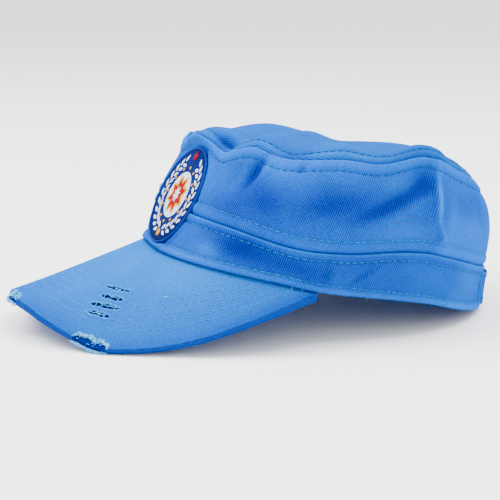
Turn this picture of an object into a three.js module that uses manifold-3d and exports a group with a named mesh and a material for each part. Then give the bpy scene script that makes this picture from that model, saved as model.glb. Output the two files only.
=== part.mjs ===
// A soft kepi cap of cotton twill, lying on a table: a band round the head opening, a side wall, a sagging
// top panel, a stiff arched peak of two cloths over a board, a round badge sewn to the front and a strap at
// the back.
// Millimetres, +Z up, the peak towards -Y and the wearer's left towards +X.
// The cap is shaped in its own frame, with the middle of the head opening at the origin, and then tipped
// back until it rests on the back of its band and on both sides of its peak.
import * as THREE from 'three';
import { mergeVertices } from 'three/addons/utils/BufferGeometryUtils.js';
import Module from 'manifold-3d';

// Driving dimensions of the crown, measured on the outside of the cloth.
const openingSide = 81;
const openingFront = 97;
const openingBack = 86;
const bandHeight = 24;
const crownHeight = 62;
const topRise = 6;
const shoulderRise = 5;
const farSettle = 5.5;
const dentDepth = 5;
const footPress = 0.8;

// Driving dimensions of the peak.
const peakLength = 63.5;
const peakDrop = 42;
const peakCornerAngle = 66;
const slitWidth = 1.6;
const wornDepth = 3;

// Driving dimensions of the badge and the strap.
const badgeRadius = 26.3;
const badgeThickness = 1.5;
const badgeRimWidth = 1.8;
const badgeRimHeight = 0.5;
const badgeLean = 17.4;
const badgeHeight = 26.5;
const badgeReach = 84.8;
const strapHeight = 18;
const strapHalfAngle = 42;

// Cloth and board thicknesses, and the clearance between neighbouring pieces.
const bandCloth = 2.2;
const wallCloth = 1.6;
const topCloth = 1.6;
const strapCloth = 1.4;
const peakCloth = 1.0;
const peakBoard = 1.2;
const clearance = 0.3;

// The peak's whole thickness.
const peakThickness = 2 * peakCloth + peakBoard + 2 * clearance;

// Steps of the meshes. The front is finer, for the badge's seat.
const frontAngle = 36;
const frontSteps = 18;
const sideSteps = 26;
const peakSteps = 36;
const badgeSides = 48;
const cutterSegments = 4;

// Outline of the crown at several lifts: 0 is the band's lower edge, 1 the band's upper edge and 2 the top
// seam. Half-width, front and back reach are shares of the opening's. Square is the power of the oval.
const sections = [
  { lift: 0.00, side: 1.000, front: 1.000, back: 1.000, squareFront: 2.40, squareBack: 2.15 },
  { lift: 0.50, side: 1.010, front: 0.945, back: 0.985, squareFront: 2.60, squareBack: 2.15 },
  { lift: 1.00, side: 1.020, front: 0.900, back: 0.970, squareFront: 2.75, squareBack: 2.15 },
  { lift: 1.40, side: 1.030, front: 0.840, back: 0.950, squareFront: 2.80, squareBack: 2.15 },
  { lift: 1.70, side: 1.000, front: 0.815, back: 0.905, squareFront: 2.60, squareBack: 2.15 },
  { lift: 1.86, side: 0.970, front: 0.830, back: 0.850, squareFront: 2.45, squareBack: 2.15 },
  { lift: 2.00, side: 0.930, front: 0.820, back: 0.780, squareFront: 2.30, squareBack: 2.15 },
];

// Heights round the cap, by degrees from the front. The band's lower edge is a share of the band's height,
// the band's upper edge too, and the top seam is a share of the crown's height.
const lowerEdge = [
  { angle: 0, share: 0.00 }, { angle: 53, share: 0.01 }, { angle: 66, share: -0.03 },
  { angle: 92, share: 0.025 }, { angle: 108, share: 0.02 }, { angle: 129, share: -0.10 },
  { angle: 150, share: -0.15 }, { angle: 180, share: -0.15 },
];
const upperEdge = [
  { angle: 0, share: 0.90 }, { angle: 24, share: 0.89 }, { angle: 37, share: 0.86 },
  { angle: 57, share: 0.74 }, { angle: 73, share: 0.81 }, { angle: 92, share: 1.01 },
  { angle: 104, share: 1.05 }, { angle: 144, share: 0.80 }, { angle: 180, share: 0.78 },
];
const topSeam = [
  { angle: 0, share: 0.940 }, { angle: 11, share: 0.915 }, { angle: 20, share: 0.860 },
  { angle: 27, share: 0.905 }, { angle: 35, share: 0.960 }, { angle: 44, share: 0.925 },
  { angle: 52, share: 0.940 }, { angle: 66, share: 1.005 }, { angle: 79, share: 1.020 },
  { angle: 98, share: 1.135 }, { angle: 114, share: 1.070 }, { angle: 145, share: 0.970 },
  { angle: 180, share: 0.955 },
];

// The top panel: how far its shoulder swells by the way inward from the seam, and its height along the
// middle as a share of the crown's height, from the front of the opening (-1) to its back (1).
const shoulder = [
  { inward: 0, swell: 0 }, { inward: 0.035, swell: 0.5 }, { inward: 0.08, swell: 0.92 },
  { inward: 0.14, swell: 1 }, { inward: 0.3, swell: 0.7 }, { inward: 0.55, swell: 0.25 },
  { inward: 1, swell: 0 },
];
const ridge = [
  { along: -0.80, share: 0.860 }, { along: -0.55, share: 0.970 }, { along: -0.38, share: 1.020 },
  { along: -0.15, share: 0.975 }, { along: 0.02, share: 0.930 }, { along: 0.14, share: 0.940 },
  { along: 0.30, share: 1.010 }, { along: 0.47, share: 1.065 }, { along: 0.65, share: 1.010 },
  { along: 0.85, share: 0.930 },
];

// Dents (below zero) and swells of the side: where each lies by degrees from the front and by lift, its
// depth on the near (+X) and far side as shares of dentDepth, its half-width in degrees, its half-height in
// lift and its slant in degrees for each lift.
const folds = [
  { name: 'front notch', angle: 20, lift: 1.88, near: -0.60, far: -0.25, wide: 7, tall: 0.25, slant: -10 },
  { name: 'corner swell', angle: 29, lift: 1.55, near: 0.30, far: 0.10, wide: 8, tall: 0.45, slant: 0 },
  { name: 'low front hollow', angle: 24, lift: 0.15, near: 0, far: -1.2, wide: 14, tall: 0.60, slant: 0 },
  { name: 'front crease', angle: 36, lift: 1.70, near: -0.35, far: -0.15, wide: 4, tall: 0.30, slant: 18 },
  { name: 'pucker', angle: 55, lift: 1.93, near: -0.25, far: -0.15, wide: 4, tall: 0.12, slant: 0 },
  { name: 'long hollow', angle: 80, lift: 1.50, near: -0.40, far: -0.20, wide: 15, tall: 0.22, slant: 20 },
  { name: 'seam shadow', angle: 98, lift: 1.82, near: -0.80, far: -0.30, wide: 8, tall: 0.22, slant: -12 },
  { name: 'upright crease', angle: 106, lift: 1.55, near: 0.45, far: 0.20, wide: 4, tall: 0.60, slant: -3 },
  { name: 'back hollow', angle: 113, lift: 1.60, near: -0.25, far: -0.15, wide: 6, tall: 0.35, slant: 0 },
  { name: 'band hollow', angle: 42, lift: 0.55, near: -0.45, far: -0.30, wide: 14, tall: 0.40, slant: 0 },
  { name: 'band crease', angle: 66, lift: 0.45, near: -0.30, far: -0.15, wide: 4, tall: 0.40, slant: 8 },
  { name: 'band slant', angle: 82, lift: 0.45, near: -0.25, far: -0.10, wide: 5, tall: 0.35, slant: 16 },
];

// Underside of the peak's rim from its tip (0) to its corner (1): half-width as a share of the corner's,
// forward reach as a share of the way from the corner to the tip, and drop below the corner as a share of
// peakDrop.
const rim = [
  { along: 0.00, side: 0.000, forward: 1.000, drop: 0.785 },
  { along: 0.12, side: 0.255, forward: 0.955, drop: 0.815 },
  { along: 0.20, side: 0.400, forward: 0.910, drop: 0.875 },
  { along: 0.31, side: 0.600, forward: 0.806, drop: 0.970 },
  { along: 0.39, side: 0.715, forward: 0.728, drop: 1.000 },
  { along: 0.53, side: 0.869, forward: 0.556, drop: 0.857 },
  { along: 0.67, side: 0.995, forward: 0.395, drop: 0.621 },
  { along: 0.80, side: 1.060, forward: 0.236, drop: 0.340 },
  { along: 0.90, side: 1.070, forward: 0.121, drop: 0.140 },
  { along: 0.95, side: 1.045, forward: 0.055, drop: 0.050 },
  { along: 1.00, side: 1.000, forward: 0.000, drop: 0.000 },
];

// Slits of the peak's upper cloth and worn places of its rim, by their two ends. Along runs from the tip
// (0) to the corner (1), and out from the band's edge (0) to the rim (1).
const slits = [
  { startAlong: 0.208, startOut: 0.505, endAlong: 0.293, endOut: 0.447 },
  { startAlong: 0.232, startOut: 0.590, endAlong: 0.308, endOut: 0.540 },
  { startAlong: 0.237, startOut: 0.692, endAlong: 0.326, endOut: 0.622 },
  { startAlong: 0.254, startOut: 0.764, endAlong: 0.324, endOut: 0.722 },
];
const wornPlaces = [
  { startAlong: -0.045, endAlong: 0.045 },
  { startAlong: 0.295, endAlong: 0.400 },
];

// Smooth curve through one column of a table. Its end slopes are level, or follow the last rows where open.
function curve(rows, key, column, at, open = false) {
  const last = rows.length - 1;
  const x = THREE.MathUtils.clamp(at, rows[0][key], rows[last][key]);
  let i = 0;
  while (i < last - 1 && x > rows[i + 1][key]) i += 1;
  const rise = (a, b) => (rows[b][column] - rows[a][column]) / (rows[b][key] - rows[a][key]);
  const slope = (k) => {
    if (k > 0 && k < last) return rise(k - 1, k + 1);
    if (!open) return 0;
    return k === 0 ? rise(0, 1) : rise(last - 1, last);
  };
  const span = rows[i + 1][key] - rows[i][key];
  const u = (x - rows[i][key]) / span;
  const a = rows[i][column];
  const b = rows[i + 1][column];
  return a * (1 + 2 * u) * (1 - u) ** 2 + b * u * u * (3 - 2 * u)
    + span * (slope(i) * u * (1 - u) ** 2 - slope(i + 1) * u * u * (1 - u));
}

const bump = (x) => Math.exp(-x * x);

// Radius of the oval outline at an angle (degrees from the front, positive towards +X) and a lift.
function outlineRadius(angle, lift) {
  const turn = THREE.MathUtils.degToRad(angle);
  const sine = Math.abs(Math.sin(turn));
  const cosine = Math.cos(turn);
  const side = openingSide * curve(sections, 'lift', 'side', lift, true);
  const front = cosine > 0;
  const reach = front
    ? openingFront * curve(sections, 'lift', 'front', lift, true)
    : openingBack * curve(sections, 'lift', 'back', lift, true);
  const square = curve(sections, 'lift', front ? 'squareFront' : 'squareBack', lift, true);
  return ((sine / side) ** square + (Math.abs(cosine) / reach) ** square) ** (-1 / square);
}

// How far the dents and swells move the side in or out.
function foldDepth(angle, lift) {
  const away = Math.abs(angle);
  const side = angle < 0 ? 'far' : 'near';
  const sum = folds.reduce((total, fold) => {
    const middle = fold.angle + fold.slant * (lift - fold.lift);
    return total + fold[side] * bump((away - middle) / fold.wide) * bump((lift - fold.lift) / fold.tall);
  }, 0);
  return dentDepth * sum;
}

// Heights of the band's edges and of the top seam. The far side of the crown has settled a little.
function edgeHeight(rows, size, angle) {
  return size * curve(rows, 'angle', 'share', Math.abs(angle));
}
function farness(angle) {
  return Math.max(0, -Math.sin(THREE.MathUtils.degToRad(angle)));
}
function liftHeight(angle, lift) {
  const low = edgeHeight(lowerEdge, bandHeight, angle);
  const high = edgeHeight(upperEdge, bandHeight, angle);
  if (lift <= 1) return THREE.MathUtils.lerp(low, high, lift);
  const seam = edgeHeight(topSeam, crownHeight, angle) - farSettle * farness(angle);
  return THREE.MathUtils.lerp(high, seam, lift - 1);
}

// The badge's plane: the point behind its middle, its outward normal and its turn from +Y to that normal.
const lean = THREE.MathUtils.degToRad(badgeLean);
const badgeNormal = new THREE.Vector3(0, -Math.cos(lean), Math.sin(lean));
const badgeMiddle = new THREE.Vector3(0, -badgeReach, badgeHeight);
const badgeSeat = badgeMiddle.addScaledVector(badgeNormal, -badgeThickness);
const badgeTurn = new THREE.Quaternion().setFromUnitVectors(new THREE.Vector3(0, 1, 0), badgeNormal);

// The badge is stiff, so the cloth behind it lies flat against it and lets go some way past its edge, and
// between the badge's top and the top seam.
const badgeHold = 8;
const badgeTopLift = 1.87;
function pressBehindBadge(point, lift) {
  if (point.y > 0 || lift > 2) return point;
  const away = point.clone().sub(badgeSeat);
  const ahead = away.dot(badgeNormal) + clearance;
  const inPlane = away.addScaledVector(badgeNormal, -away.dot(badgeNormal)).length();
  const past = THREE.MathUtils.smoothstep(inPlane, badgeRadius + badgeHold / 2, badgeRadius + badgeHold);
  const above = THREE.MathUtils.smoothstep(lift, badgeTopLift, 2);
  return point.addScaledVector(badgeNormal, -ahead * (1 - past) * (1 - above));
}

// Outer form of the crown at an angle and a lift. From lift 2 to 3 it is the top panel, inward from the
// seam. The panel goes over from the seam's height to its middle's within panelEase, and its far shoulder
// swells less by farSlack.
const panelEase = 0.6;
const farSlack = 0.8;
function crownForm(angle, lift) {
  const turn = THREE.MathUtils.degToRad(angle);
  const inward = Math.max(0, lift - 2);
  const below = Math.min(lift, 2);
  const radius = (outlineRadius(angle, below) + foldDepth(angle, below)) * (1 - inward);
  const height = liftHeight(angle, below);
  const point = new THREE.Vector3(radius * Math.sin(turn), -radius * Math.cos(turn), height);
  if (inward > 0) {
    const along = point.y / (point.y < 0 ? openingFront : openingBack);
    const middle = crownHeight * curve(ridge, 'along', 'share', along) + topRise;
    const swell = shoulderRise * curve(shoulder, 'inward', 'swell', inward);
    point.z = THREE.MathUtils.lerp(height, middle, THREE.MathUtils.smoothstep(inward, 0, panelEase));
    point.z += swell * (1 - farSlack * farness(angle));
  }
  return point;
}

// Outward normal of the crown, from its slopes round and up. Neighbours share it at the seam between them.
const seamReach = 0.02;
function crownNormal(angle, lift) {
  const step = 0.01;
  if (lift > 3 - 2 * step) return new THREE.Vector3(0, 0, 1);
  const near = Math.round(lift);
  const level = Math.abs(lift - near) < seamReach ? near : lift;
  const round = crownForm(angle + 1, level).sub(crownForm(angle - 1, level));
  const up = crownForm(angle, level + step).sub(crownForm(angle, Math.max(0, level - step)));
  return round.cross(up).normalize();
}

// A point of the crown's cloth at some depth below (or, if negative, above) its outer surface.
function crownLayer(angle, lift, depth) {
  const face = pressBehindBadge(crownForm(angle, lift), lift);
  return face.addScaledVector(crownNormal(angle, lift), -depth);
}

// Underside of the peak's rim at a way along it, signed: positive towards +X.
function rimPoint(along) {
  const away = Math.abs(along);
  const corner = crownForm(peakCornerAngle, 0);
  const tip = -(openingFront + peakLength);
  return new THREE.Vector3(
    Math.sign(along) * corner.x * curve(rim, 'along', 'side', away, true),
    corner.y + (tip - corner.y) * curve(rim, 'along', 'forward', away, true),
    corner.z - clearance - peakThickness - peakDrop * curve(rim, 'along', 'drop', away, true),
  );
}

// The peak's seam under the band's lower edge, this share of the band's cloth in from its face.
const seamInset = 0.6;
function seamPoint(along) {
  const seam = crownLayer(along * peakCornerAngle, 0, seamInset * bandCloth);
  return seam.add(new THREE.Vector3(0, 0, -clearance));
}

// Upper surface of the peak: straight lines fan out from its seam to its rim.
function peakPoint(along, out) {
  const tipRim = rimPoint(along).add(new THREE.Vector3(0, 0, peakThickness));
  return seamPoint(along).lerp(tipRim, out);
}
function peakNormal(along, out) {
  const step = 0.01;
  const side = THREE.MathUtils.clamp(along, -1 + step, 1 - step);
  const round = peakPoint(side + step, out).sub(peakPoint(side - step, out));
  const inward = peakPoint(side, out).sub(peakPoint(side, out + step));
  return round.cross(inward).normalize();
}
function peakLayer(along, out, depth) {
  return peakPoint(along, out).addScaledVector(peakNormal(along, out), -depth);
}

// A point past the peak's rim, some way ahead of it and some depth below the upper surface.
function pastRim(along, ahead, depth) {
  const outward = peakPoint(along, 1).sub(peakPoint(along, 0)).normalize();
  return peakLayer(along, 1, depth).addScaledVector(outward, ahead);
}

// Evenly spaced numbers from one to another, both included.
function steps(from, to, count) {
  return Array.from({ length: count + 1 }, (_, i) => from + ((to - from) * i) / count);
}
const peakAlong = steps(-1, 1, peakSteps);
const peakOut = steps(0, 1, 5);

// The floor in the cap's frame: a plane that touches the rim's turned cloth and presses the band's soft
// lower edge flat at the back.
const backFoot = crownLayer(180, 0, bandCloth).add(new THREE.Vector3(0, 0, footPress));
const floorSlope = Math.max(...peakAlong.map((along) => {
  const foot = pastRim(along, peakCloth, peakThickness);
  return (backFoot.z - foot.z) / (backFoot.y - foot.y);
}));
const restTilt = Math.atan(floorSlope);
const floorHeight = (y) => backFoot.z - floorSlope * (backFoot.y - y);
const pressToFloor = (point) => point.setZ(Math.max(point.z, floorHeight(point.y)));

// A closed mesh between an outer and an inner grid of points, given as rows from edge to edge.
// Round grids join their last column to their first, and other grids are closed at both ends.
function shell(outer, inner, round) {
  const columns = outer[0].length;
  const points = [...outer.flat(), ...inner.flat()];
  const under = outer.flat().length;
  const faces = [];
  const quad = (a, b, c, d) => faces.push(a, b, c, a, c, d);
  const spans = round ? columns : columns - 1;
  for (let j = 0; j < outer.length - 1; j += 1) {
    for (let i = 0; i < spans; i += 1) {
      const k = (i + 1) % columns;
      const row = j * columns;
      const next = row + columns;
      const [a, b, c, d] = [row + i, row + k, next + k, next + i];
      quad(a, b, c, d);
      quad(under + a, under + d, under + c, under + b);
    }
  }
  const top = (outer.length - 1) * columns;
  for (let i = 0; i < spans; i += 1) {
    const k = (i + 1) % columns;
    quad(i, under + i, under + k, k);
    quad(top + i, top + k, under + top + k, under + top + i);
  }
  if (!round) {
    for (let j = 0; j < outer.length - 1; j += 1) {
      const [a, b] = [j * columns, (j + 1) * columns];
      quad(a, b, under + b, under + a);
      const [c, d] = [a + columns - 1, b + columns - 1];
      quad(c, under + c, under + d, d);
    }
  }
  return closedGeometry(points, faces);
}

// Merges like points, drops faces that shrank to nothing and turns the faces outward.
const mergeReach = 1e-4;
function closedGeometry(points, faces) {
  const loose = new THREE.BufferGeometry();
  loose.setAttribute('position', new THREE.Float32BufferAttribute(points.flatMap((p) => p.toArray()), 3));
  loose.setIndex(faces);
  const merged = mergeVertices(loose, mergeReach);
  const index = Array.from(merged.index.array);
  const kept = [];
  for (let i = 0; i < index.length; i += 3) {
    const [a, b, c] = index.slice(i, i + 3);
    if (a !== b && b !== c && c !== a) kept.push(a, b, c);
  }
  if (signedVolume(merged, kept) < 0) kept.reverse();
  merged.setIndex(kept);
  merged.computeVertexNormals();
  return merged;
}
function signedVolume(geometry, index) {
  const corner = [new THREE.Vector3(), new THREE.Vector3(), new THREE.Vector3()];
  let sum = 0;
  for (let i = 0; i < index.length; i += 3) {
    corner.forEach((v, k) => v.fromBufferAttribute(geometry.attributes.position, index[i + k]));
    sum += corner[0].dot(corner[1].clone().cross(corner[2]));
  }
  return sum / 6;
}

const roundAngles = [
  ...steps(-180, -frontAngle, sideSteps).slice(0, -1),
  ...steps(-frontAngle, frontAngle, frontSteps).slice(0, -1),
  ...steps(frontAngle, 180, sideSteps).slice(0, -1),
];

// One cloth of the crown, from one lift to another.
function crownCloth(lifts, thickness, finish = (p) => p) {
  const row = (lift, depth) => roundAngles.map((angle) => finish(crownLayer(angle, lift, depth)));
  const grid = (depth) => lifts.map((lift) => row(lift, depth));
  return shell(grid(0), grid(thickness), true);
}

// The library that cuts one closed solid with another.
const solids = await Module();
solids.setup();

function toSolid(geometry) {
  const bare = geometry.clone();
  bare.deleteAttribute('normal');
  bare.deleteAttribute('uv');
  const merged = mergeVertices(bare, mergeReach);
  return new solids.Manifold(new solids.Mesh({
    numProp: 3,
    vertProperties: new Float32Array(merged.attributes.position.array),
    triVerts: new Uint32Array(merged.index.array),
  }));
}
function fromSolid(solid) {
  const mesh = solid.getMesh();
  const geometry = new THREE.BufferGeometry();
  geometry.setAttribute('position', new THREE.BufferAttribute(mesh.vertProperties, 3));
  geometry.setIndex(new THREE.BufferAttribute(mesh.triVerts, 1));
  geometry.computeVertexNormals();
  return geometry;
}

// An upright cutter of some outline, laid from one point to another and reaching some way under them.
const cutterTop = 2;
function cutter(outline, from, to, normal, under) {
  const across = to.clone().sub(from).normalize();
  const upright = normal.clone().addScaledVector(across, -normal.dot(across)).normalize();
  const shape = { depth: under + cutterTop, bevelEnabled: false, curveSegments: cutterSegments };
  const geometry = new THREE.ExtrudeGeometry(outline, shape);
  const frame = new THREE.Matrix4().makeBasis(across, upright.clone().cross(across), upright);
  frame.setPosition(from.clone().add(to).multiplyScalar(0.5).addScaledVector(upright, -under));
  return toSolid(geometry.applyMatrix4(frame));
}

// Half the clearance at a seam, in lift.
const bandGap = clearance / 2 / bandHeight;
const wallGap = clearance / 2 / (crownHeight - bandHeight);
const topGap = clearance / 2 / openingSide;

function makeBand() {
  return crownCloth([0, 0.07, 0.2, 0.45, 0.72, 1 - bandGap], bandCloth, pressToFloor);
}
function makeWall() {
  const lifts = [1 + wallGap, 1.17, 1.34, 1.5, 1.65, 1.77, 1.85, 1.91, 2 - wallGap];
  return crownCloth(lifts, wallCloth);
}
function makeTop() {
  return crownCloth([2 + topGap, 2.04, 2.1, 2.2, 2.4, 2.65, 3], topCloth);
}

// The strap lies round the back of the band.
function makeStrap() {
  const middle = 0.5;
  const half = strapHeight / bandHeight / 2;
  const lifts = steps(middle - half, middle + half, 2);
  const angles = steps(180 - strapHalfAngle, 180 + strapHalfAngle, 20);
  const wrap = (angle) => (angle > 180 ? angle - 360 : angle);
  const row = (lift, depth) => angles.map((angle) => crownLayer(wrap(angle), lift, depth));
  const grid = (depth) => lifts.map((lift) => row(lift, depth));
  return shell(grid(-(clearance + strapCloth)), grid(-clearance), false);
}

// The badge: a flat round patch with a raised rim, turned about its own axis.
function makeBadge() {
  const rimTop = badgeThickness + badgeRimHeight;
  const profile = [
    [0, 0],
    [badgeRadius, 0],
    [badgeRadius, badgeThickness],
    [badgeRadius - badgeRimWidth / 4, rimTop],
    [badgeRadius - badgeRimWidth * 3 / 4, rimTop],
    [badgeRadius - badgeRimWidth, badgeThickness],
    [0, badgeThickness],
  ];
  const turned = new THREE.LatheGeometry(profile.map(([x, y]) => new THREE.Vector2(x, y)), badgeSides);
  turned.deleteAttribute('normal');
  turned.deleteAttribute('uv');
  const merged = mergeVertices(turned, mergeReach);
  const position = merged.attributes.position;
  const pointAt = (_, i) => new THREE.Vector3().fromBufferAttribute(position, i);
  const points = Array.from({ length: position.count }, pointAt);
  return closedGeometry(points, Array.from(merged.index.array));
}

// A slit is pointed at both ends.
function slitCutter({ startAlong, startOut, endAlong, endOut }) {
  const from = peakPoint(startAlong, startOut);
  const to = peakPoint(endAlong, endOut);
  const half = from.distanceTo(to) / 2;
  const outline = new THREE.Shape();
  outline.moveTo(-half, 0);
  outline.quadraticCurveTo(0, -slitWidth, half, 0);
  outline.quadraticCurveTo(0, slitWidth, -half, 0);
  const normal = peakNormal((startAlong + endAlong) / 2, (startOut + endOut) / 2);
  return cutter(outline, from, to, normal, peakCloth + clearance);
}

// A worn place is a long bite out of the cloth that turns over the rim.
function wornCutter({ startAlong, endAlong }) {
  const from = peakPoint(startAlong, 1);
  const to = peakPoint(endAlong, 1);
  const outline = new THREE.Shape();
  outline.absellipse(0, 0, from.distanceTo(to) / 2, wornDepth, 0, 2 * Math.PI);
  return cutter(outline, from, to, peakNormal((startAlong + endAlong) / 2, 1), peakThickness + cutterTop);
}

// A flat layer of the peak between two depths, stopping short of the rim's turned cloth.
function peakSheet(top, bottom) {
  const grid = (depth) => peakOut.map((out) => peakAlong.map((along) => {
    const length = seamPoint(along).distanceTo(rimPoint(along));
    return peakLayer(along, out * (1 - 2 * clearance / length), depth);
  }));
  return shell(grid(top), grid(bottom), false);
}

// The upper cloth runs over the rim and turns down past the board and the lower cloth.
function peakUpperCloth() {
  const turned = [
    [peakCloth * 0.6, peakCloth * 0.3],
    [peakCloth, peakCloth * 1.3],
    [peakCloth, peakThickness],
  ];
  const outer = peakOut.map((out) => peakAlong.map((along) => peakLayer(along, out, 0)));
  const inner = peakOut.map((out) => peakAlong.map((along) => peakLayer(along, out, peakCloth)));
  turned.forEach(([ahead, depth]) => {
    outer.push(peakAlong.map((along) => pastRim(along, ahead, depth)));
    inner.push(peakAlong.map((along) => pastRim(along, ahead - peakCloth, Math.max(depth, peakCloth))));
  });
  const cuts = [...slits.map(slitCutter), ...wornPlaces.map(wornCutter)];
  return fromSolid(cuts.reduce((cloth, cut) => cloth.subtract(cut), toSolid(shell(outer, inner, false))));
}

const cap = new THREE.Group();
cap.rotation.x = -restTilt;

function addPiece(name, geometry, colour, roughness = 0.9) {
  const material = new THREE.MeshStandardMaterial({ color: colour, roughness, metalness: 0 });
  const mesh = new THREE.Mesh(geometry, material);
  mesh.name = name;
  cap.add(mesh);
  return mesh;
}

addPiece('band', makeBand(), 0x2b62c8);
addPiece('crown_wall', makeWall(), 0x3070d8);
addPiece('crown_top', makeTop(), 0x4592e6);
addPiece('back_strap', makeStrap(), 0x2b62c8);
addPiece('peak_top_cloth', peakUpperCloth(), 0x4d9be8);
addPiece('peak_board', peakSheet(peakCloth + clearance, peakCloth + clearance + peakBoard), 0x1f4fa0);
addPiece('peak_under_cloth', peakSheet(peakThickness - peakCloth, peakThickness), 0x3a80dc);
const badge = addPiece('badge', makeBadge(), 0x24408c);
badge.position.copy(badgeSeat);
badge.quaternion.copy(badgeTurn);

const model = new THREE.Group();
model.add(cap);
model.updateMatrixWorld(true);
const box = new THREE.Box3().setFromObject(cap, true);
const centre = box.getCenter(new THREE.Vector3());
cap.position.set(-centre.x, -centre.y, -box.min.z);

export default model;
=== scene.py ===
import functools
import math
import random

import bmesh
import bpy
import numpy as np
from mathutils import Matrix, Vector


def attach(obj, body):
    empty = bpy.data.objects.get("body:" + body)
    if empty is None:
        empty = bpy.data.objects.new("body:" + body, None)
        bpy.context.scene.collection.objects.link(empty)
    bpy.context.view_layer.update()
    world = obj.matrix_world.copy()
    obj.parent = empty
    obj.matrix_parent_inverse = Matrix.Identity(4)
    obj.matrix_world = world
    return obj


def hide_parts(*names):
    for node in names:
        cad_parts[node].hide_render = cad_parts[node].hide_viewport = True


# A soft washed kepi cap of blue twill, lying on a pale table. The crown, band and peak follow the same
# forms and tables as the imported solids, at a finer step, with seams, stitches, frayed threads and an
# embroidered badge. Sizes are in metres.
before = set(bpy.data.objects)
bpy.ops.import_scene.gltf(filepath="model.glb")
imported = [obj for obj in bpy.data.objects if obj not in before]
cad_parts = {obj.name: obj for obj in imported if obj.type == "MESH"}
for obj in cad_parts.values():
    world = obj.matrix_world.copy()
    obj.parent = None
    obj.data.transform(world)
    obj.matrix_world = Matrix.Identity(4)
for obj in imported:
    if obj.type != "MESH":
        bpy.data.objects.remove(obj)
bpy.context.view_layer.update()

MM = 0.001
BODY = "root"
UP, BACKWARD = Vector((0, 0, 1)), Vector((0, 1, 0))
LAY = random.Random(7)

# Driving sizes of the cap, as in the solids.
OPENING_SIDE = 81 * MM
OPENING_FRONT = 97 * MM
OPENING_BACK = 86 * MM
BAND_HEIGHT = 24 * MM
CROWN_HEIGHT = 62 * MM
TOP_RISE = 6 * MM
SHOULDER_RISE = 5 * MM
FAR_SETTLE = 5.5 * MM
DENT_DEPTH = 5 * MM
FAR_SLACK = 0.8
PANEL_EASE = 0.6
PEAK_LENGTH = 63.5 * MM
PEAK_DROP = 42 * MM
PEAK_CORNER = 66
BADGE_RADIUS = 26.3 * MM
BADGE_THICKNESS = 1.5 * MM
BADGE_LEAN = math.radians(17.4)
BADGE_HEIGHT = 26.5 * MM
BADGE_REACH = 84.8 * MM
BADGE_HOLD = 8 * MM
BADGE_TOP_LIFT = 1.87
BAND_CLOTH = 2.2 * MM
WALL_CLOTH = 1.6 * MM
TOP_CLOTH = 1.6 * MM
STRAP_CLOTH = 1.4 * MM
PEAK_CLOTH = 1.0 * MM
PEAK_BOARD = 1.2 * MM
CLEARANCE = 0.3 * MM
PEAK_THICKNESS = 2 * PEAK_CLOTH + PEAK_BOARD + 2 * CLEARANCE
STRAP_HEIGHT = 18 * MM
STRAP_HALF_ANGLE = 39

# How the cap lies in the frame: tipped back on its band, its opening's middle at this place.
REST_TILT = math.radians(11.6956)
CAP_PLACE = Vector((0, 38.0986 * MM, 19.9795 * MM))

# The outline at several lifts: lift, side, front, back, square in front, square behind.
SECTIONS = [
    (0.00, 1.000, 1.000, 1.000, 2.40, 2.15),
    (0.50, 1.010, 0.945, 0.985, 2.60, 2.15),
    (1.00, 1.020, 0.900, 0.970, 2.75, 2.15),
    (1.40, 1.030, 0.840, 0.950, 2.80, 2.15),
    (1.70, 1.000, 0.815, 0.905, 2.60, 2.15),
    (1.86, 0.970, 0.830, 0.850, 2.45, 2.15),
    (2.00, 0.930, 0.820, 0.780, 2.30, 2.15),
]

# Heights by degrees from the front: shares of the band's height, and of the crown's for the seam.
LOWER_EDGE = [(0, 0.0), (53, 0.01), (66, -0.03), (92, 0.025), (108, 0.02), (129, -0.10), (150, -0.15),
              (180, -0.15)]
UPPER_EDGE = [(0, 0.90), (24, 0.89), (37, 0.86), (57, 0.74), (73, 0.81), (92, 1.01), (104, 1.05),
              (144, 0.80), (180, 0.78)]
TOP_SEAM = [(0, 0.940), (11, 0.915), (20, 0.860), (27, 0.905), (35, 0.960), (44, 0.925), (52, 0.940),
            (66, 1.005), (79, 1.020), (98, 1.135), (114, 1.070), (145, 0.970), (180, 0.955)]

# The top panel: its shoulder's swell by the way inward, and its middle's height by the way back.
SHOULDER = [(0, 0), (0.035, 0.5), (0.08, 0.92), (0.14, 1), (0.3, 0.7), (0.55, 0.25), (1, 0)]
RIDGE = [(-0.80, 0.860), (-0.55, 0.970), (-0.38, 1.020), (-0.15, 0.975), (0.02, 0.930), (0.14, 0.940),
         (0.30, 1.010), (0.47, 1.065), (0.65, 1.010), (0.85, 0.930)]

# Dents and swells of the side: angle, lift, near depth, far depth, half-width, half-height, slant.
FOLDS = [
    (20, 1.88, -0.60, -0.25, 7, 0.25, -10),
    (29, 1.55, 0.30, 0.10, 8, 0.45, 0),
    (24, 0.15, 0, -1.2, 14, 0.60, 0),
    (36, 1.70, -0.35, -0.15, 4, 0.30, 18),
    (55, 1.93, -0.25, -0.15, 4, 0.12, 0),
    (80, 1.50, -0.40, -0.20, 15, 0.22, 20),
    (98, 1.82, -0.80, -0.30, 8, 0.22, -12),
    (106, 1.55, 0.45, 0.20, 4, 0.60, -3),
    (113, 1.60, -0.25, -0.15, 6, 0.35, 0),
    (42, 0.55, -0.45, -0.30, 14, 0.40, 0),
    (66, 0.45, -0.30, -0.15, 4, 0.40, 8),
    (82, 0.45, -0.25, -0.10, 5, 0.35, 16),
]

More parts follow.
